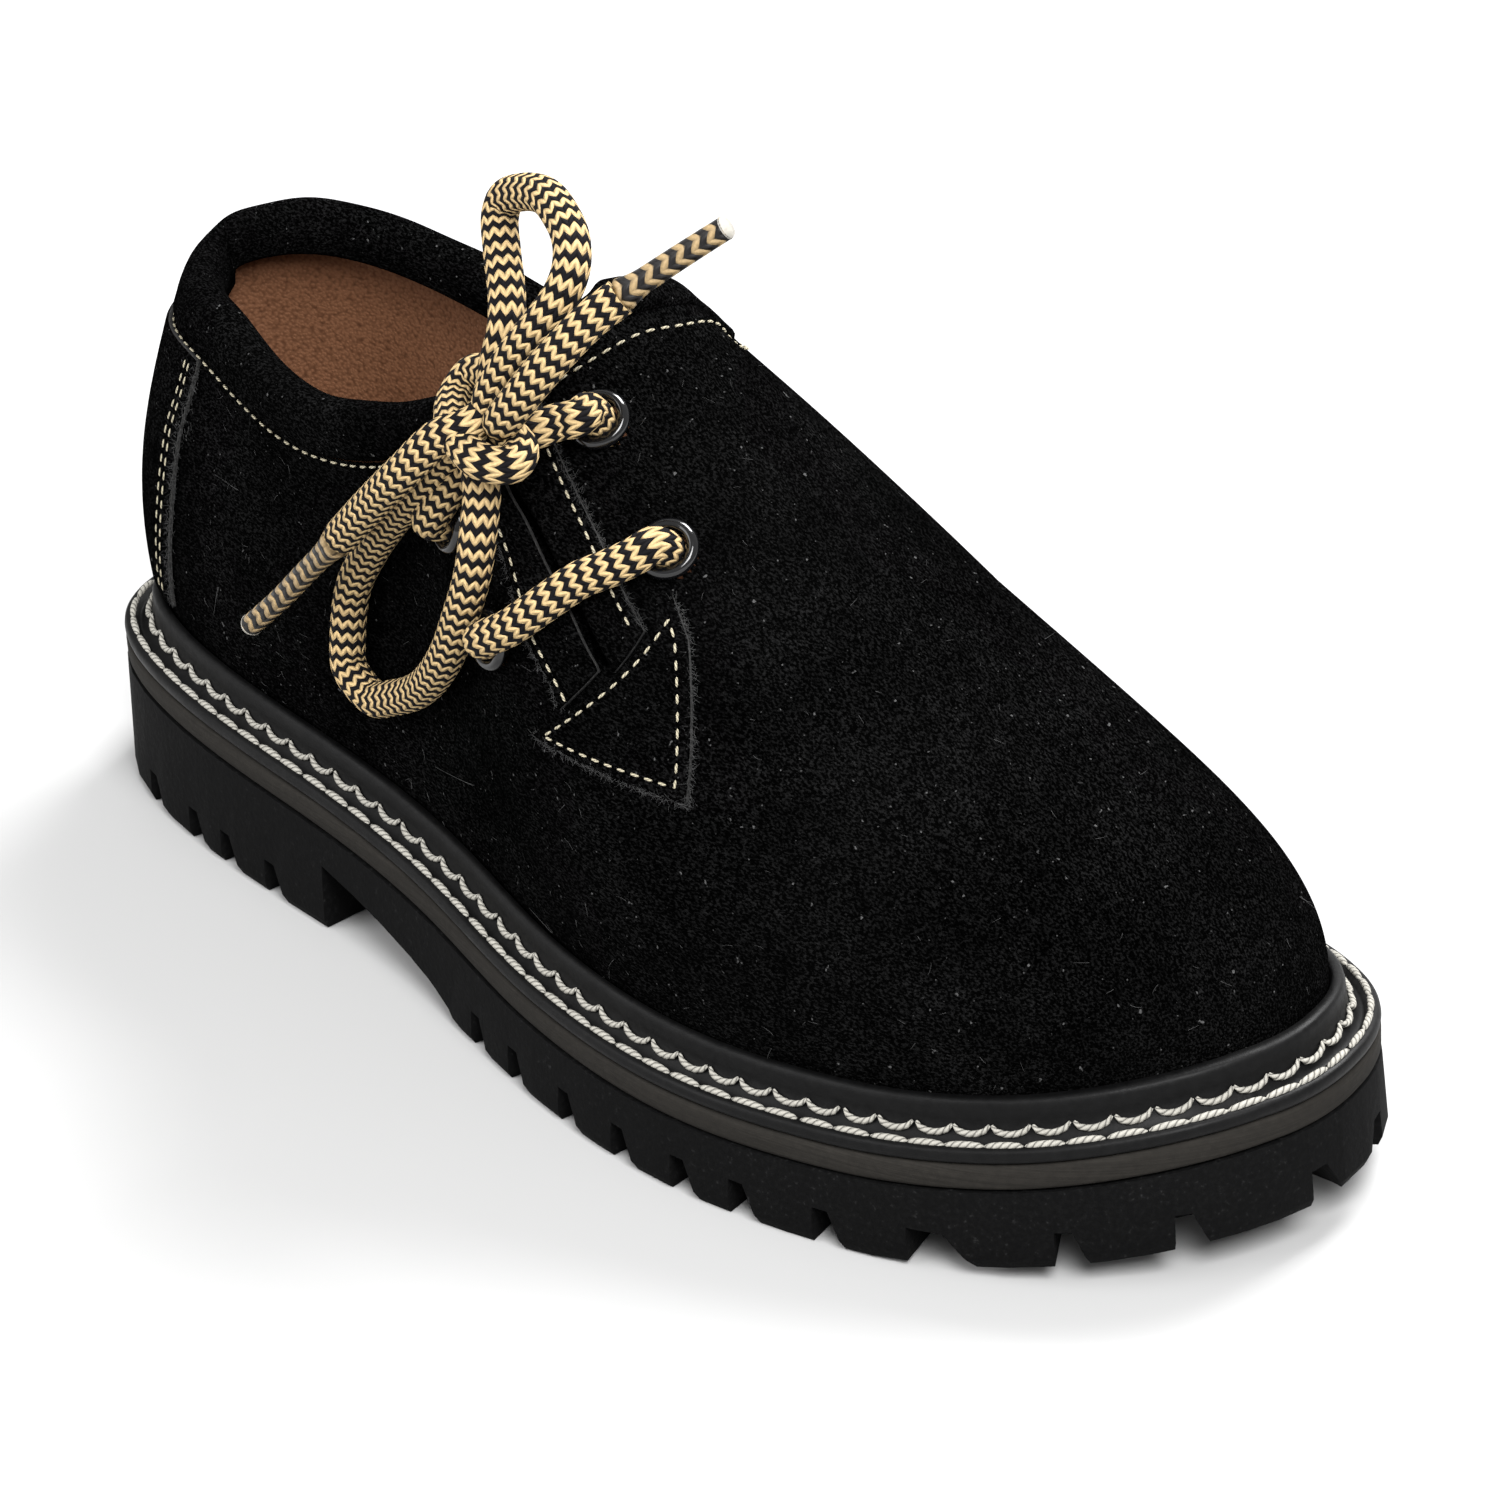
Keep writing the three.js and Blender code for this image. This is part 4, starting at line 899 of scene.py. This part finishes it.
def make_fuzz():
    """Short fibres along the raw edges, lint over the suede, and a few long hairs."""
    heel_side, top, fore, bottom = np.array(PATCH)
    lines = [tuple(np.linspace(start, end, 60).T)
             for start, end in ((top, fore), (fore, bottom), (bottom, heel_side))]
    for at, low, high, count in ((front_at, 0.700, PLY_TOP, 80), (rear_at, 0.582, PLY_TOP, 80),
                                 (stay_at, 0.16, 0.97, 90)):
        t = np.linspace(low, high, count)
        lines.append((at(t), t))
    lines.append((-stay_at(t), t))
    roots, directions = fuzz_along(lines, 20, 0.36, 3)
    fibres("edge_fuzz", roots, directions, 0.95, 0.026, 4)
    rng = np.random.default_rng(12)
    lint, hairs = 420, 14
    u, t = rng.uniform(0, 1, lint), rng.uniform(0.08, 0.95, lint)
    flat = strewn(rng, *skin_frame(u, t), 0.12)
    fibres("lint", lifted(u, t, 0.18), flat, 1.5, 0.030, 5)
    fibres("hairs", lifted(u[:hairs], t[:hairs], 0.35), flat[:hairs], 5.0, 0.035, 6, 12)


def make_collar():
    """Padded roll along the collar seam, open at the slit and drawn in at its two ends."""
    profile = rounded(ROLL, 4)
    u = np.linspace(slit_at(1) + 0.0045, 1 + slit_at(1) - 0.0045, 460)
    p = skin(u, 1.0)
    _, up, n = skin_frame(u, 1.0)
    ends = np.minimum(u - u[0], u[-1] - u)
    squeeze = np.clip(0.55 + 0.45 * np.sin(np.clip(ends / 0.012, 0, 1) * np.pi / 2), 0, 1)
    puff = 1 + 0.025 * np.sin(2 * np.pi * u * 11 + 1.3) + 0.015 * np.sin(2 * np.pi * u * 23)
    along = profile[:, 0][None, :] * (squeeze * puff)[:, None]
    inward = profile[:, 1][None, :] * squeeze[:, None]
    body = p[:, None] + up[:, None] * along[..., None] - n[:, None] * inward[..., None]
    swept("collar_look", body, "suede", ["collar"], closed=False)


def make_tongue_and_insole():
    grid = [[(u, t) for u in np.linspace(0.268, 0.392, 60)] for t in np.linspace(0.60, 0.97, 60)]
    suede_sheet("tongue", grid, -WALL - 2.0, -WALL - 0.45)
    steps, inset = 200, FEATHER_INSET + WALL + 0.6
    u = np.arange(steps) / steps
    rings = [edge_point(u, inset, h) for h in (CLEAR, 2.9)]
    rings.append(edge_point(u, FEATHER_INSET + WALL + 1.1, 3.2))
    rim = rings[-1]
    middle = (rim + np.roll(rim[::-1], 1, axis=0)) / 2
    rings += [rim * (1 - k) + middle * k for k in np.linspace(0.1, 1.0, 10)]
    points = np.stack(rings, 1).reshape(-1, 3)
    faces = grid_faces(steps, len(rings), close_rows=True)
    mesh_piece("insole_look", points, faces, ["lining"], ["insole"])


def make_eyelets():
    profile = rounded(EYELET_PROFILE, 4)
    angle = 2 * np.pi * np.arange(72) / 72
    for name, (u, t) in EYELETS.items():
        centre = skin(u, t)
        along, _, n = skin_frame(u, t)
        other = np.cross(n, along)
        out = np.cos(angle)[:, None] * along + np.sin(angle)[:, None] * other
        body = centre + out[:, None] * profile[None, :, :1] + n * (profile[None, :, 1:] + EYELET_RISE)
        swept("eyelet_" + name + "_look", body, "enamel", ["eyelet_" + name])


# place in metres, size and power of each light; each looks at the shoe
LIGHTS = {"key": ((0.75, -0.35, 0.95), 0.6, 22), "fill": ((-0.5, -1.0, 0.7), 1.0, 12),
          "back": ((-0.1, 0.75, 0.95), 0.5, 24)}


def make_stage():
    """Pale floor that brightens far away, even world light, and three soft lights."""
    floor = bpy.data.meshes.new("floor")
    size = 4.0
    corners = [(-size, -size, 0), (size, -size, 0), (size, size, 0), (-size, size, 0)]
    floor.from_pydata(corners, [], [(0, 1, 2, 3)])
    paper = Nodes("paper")
    away = paper.add("ShaderNodeVectorMath", {0: paper.place()}, operation="LENGTH").outputs["Value"]
    glow = paper.math("MULTIPLY", paper.ramp(away, [(0.30, 0.0), (0.95, 1.0)]), 0.8)
    floor.materials.append(paper.finish((0.44, 0.44, 0.44), 1.0, Specular_IOR_Level=0.0,
                                        Emission_Color=(1.0, 1.0, 1.0, 1.0), Emission_Strength=glow))
    ground = bpy.data.objects.new("floor", floor)
    ground.location.z = -0.0002
    bpy.context.scene.collection.objects.link(ground)
    world = bpy.data.worlds.new("studio")
    world.use_nodes = True
    background = world.node_tree.nodes["Background"]
    background.inputs["Color"].default_value = (1, 1, 1, 1)
    background.inputs["Strength"].default_value = 0.6
    bpy.context.scene.world = world
    bpy.context.scene.view_settings.view_transform = "Standard"
    for name, (place, width, power) in LIGHTS.items():
        light = bpy.data.lights.new(name, "AREA")
        light.size = width
        light.energy = power
        lamp = bpy.data.objects.new(name, light)
        lamp.location = place
        lamp.rotation_mode = "QUATERNION"
        lamp.rotation_quaternion = (Vector((0, 0, 0.04)) - Vector(place)).to_track_quat("-Z", "Y")
        bpy.context.scene.collection.objects.link(lamp)


make_sole()
make_welt()
make_upper()
make_overlays()
make_fuzz()
make_collar()
make_tongue_and_insole()
make_eyelets()
make_stage()
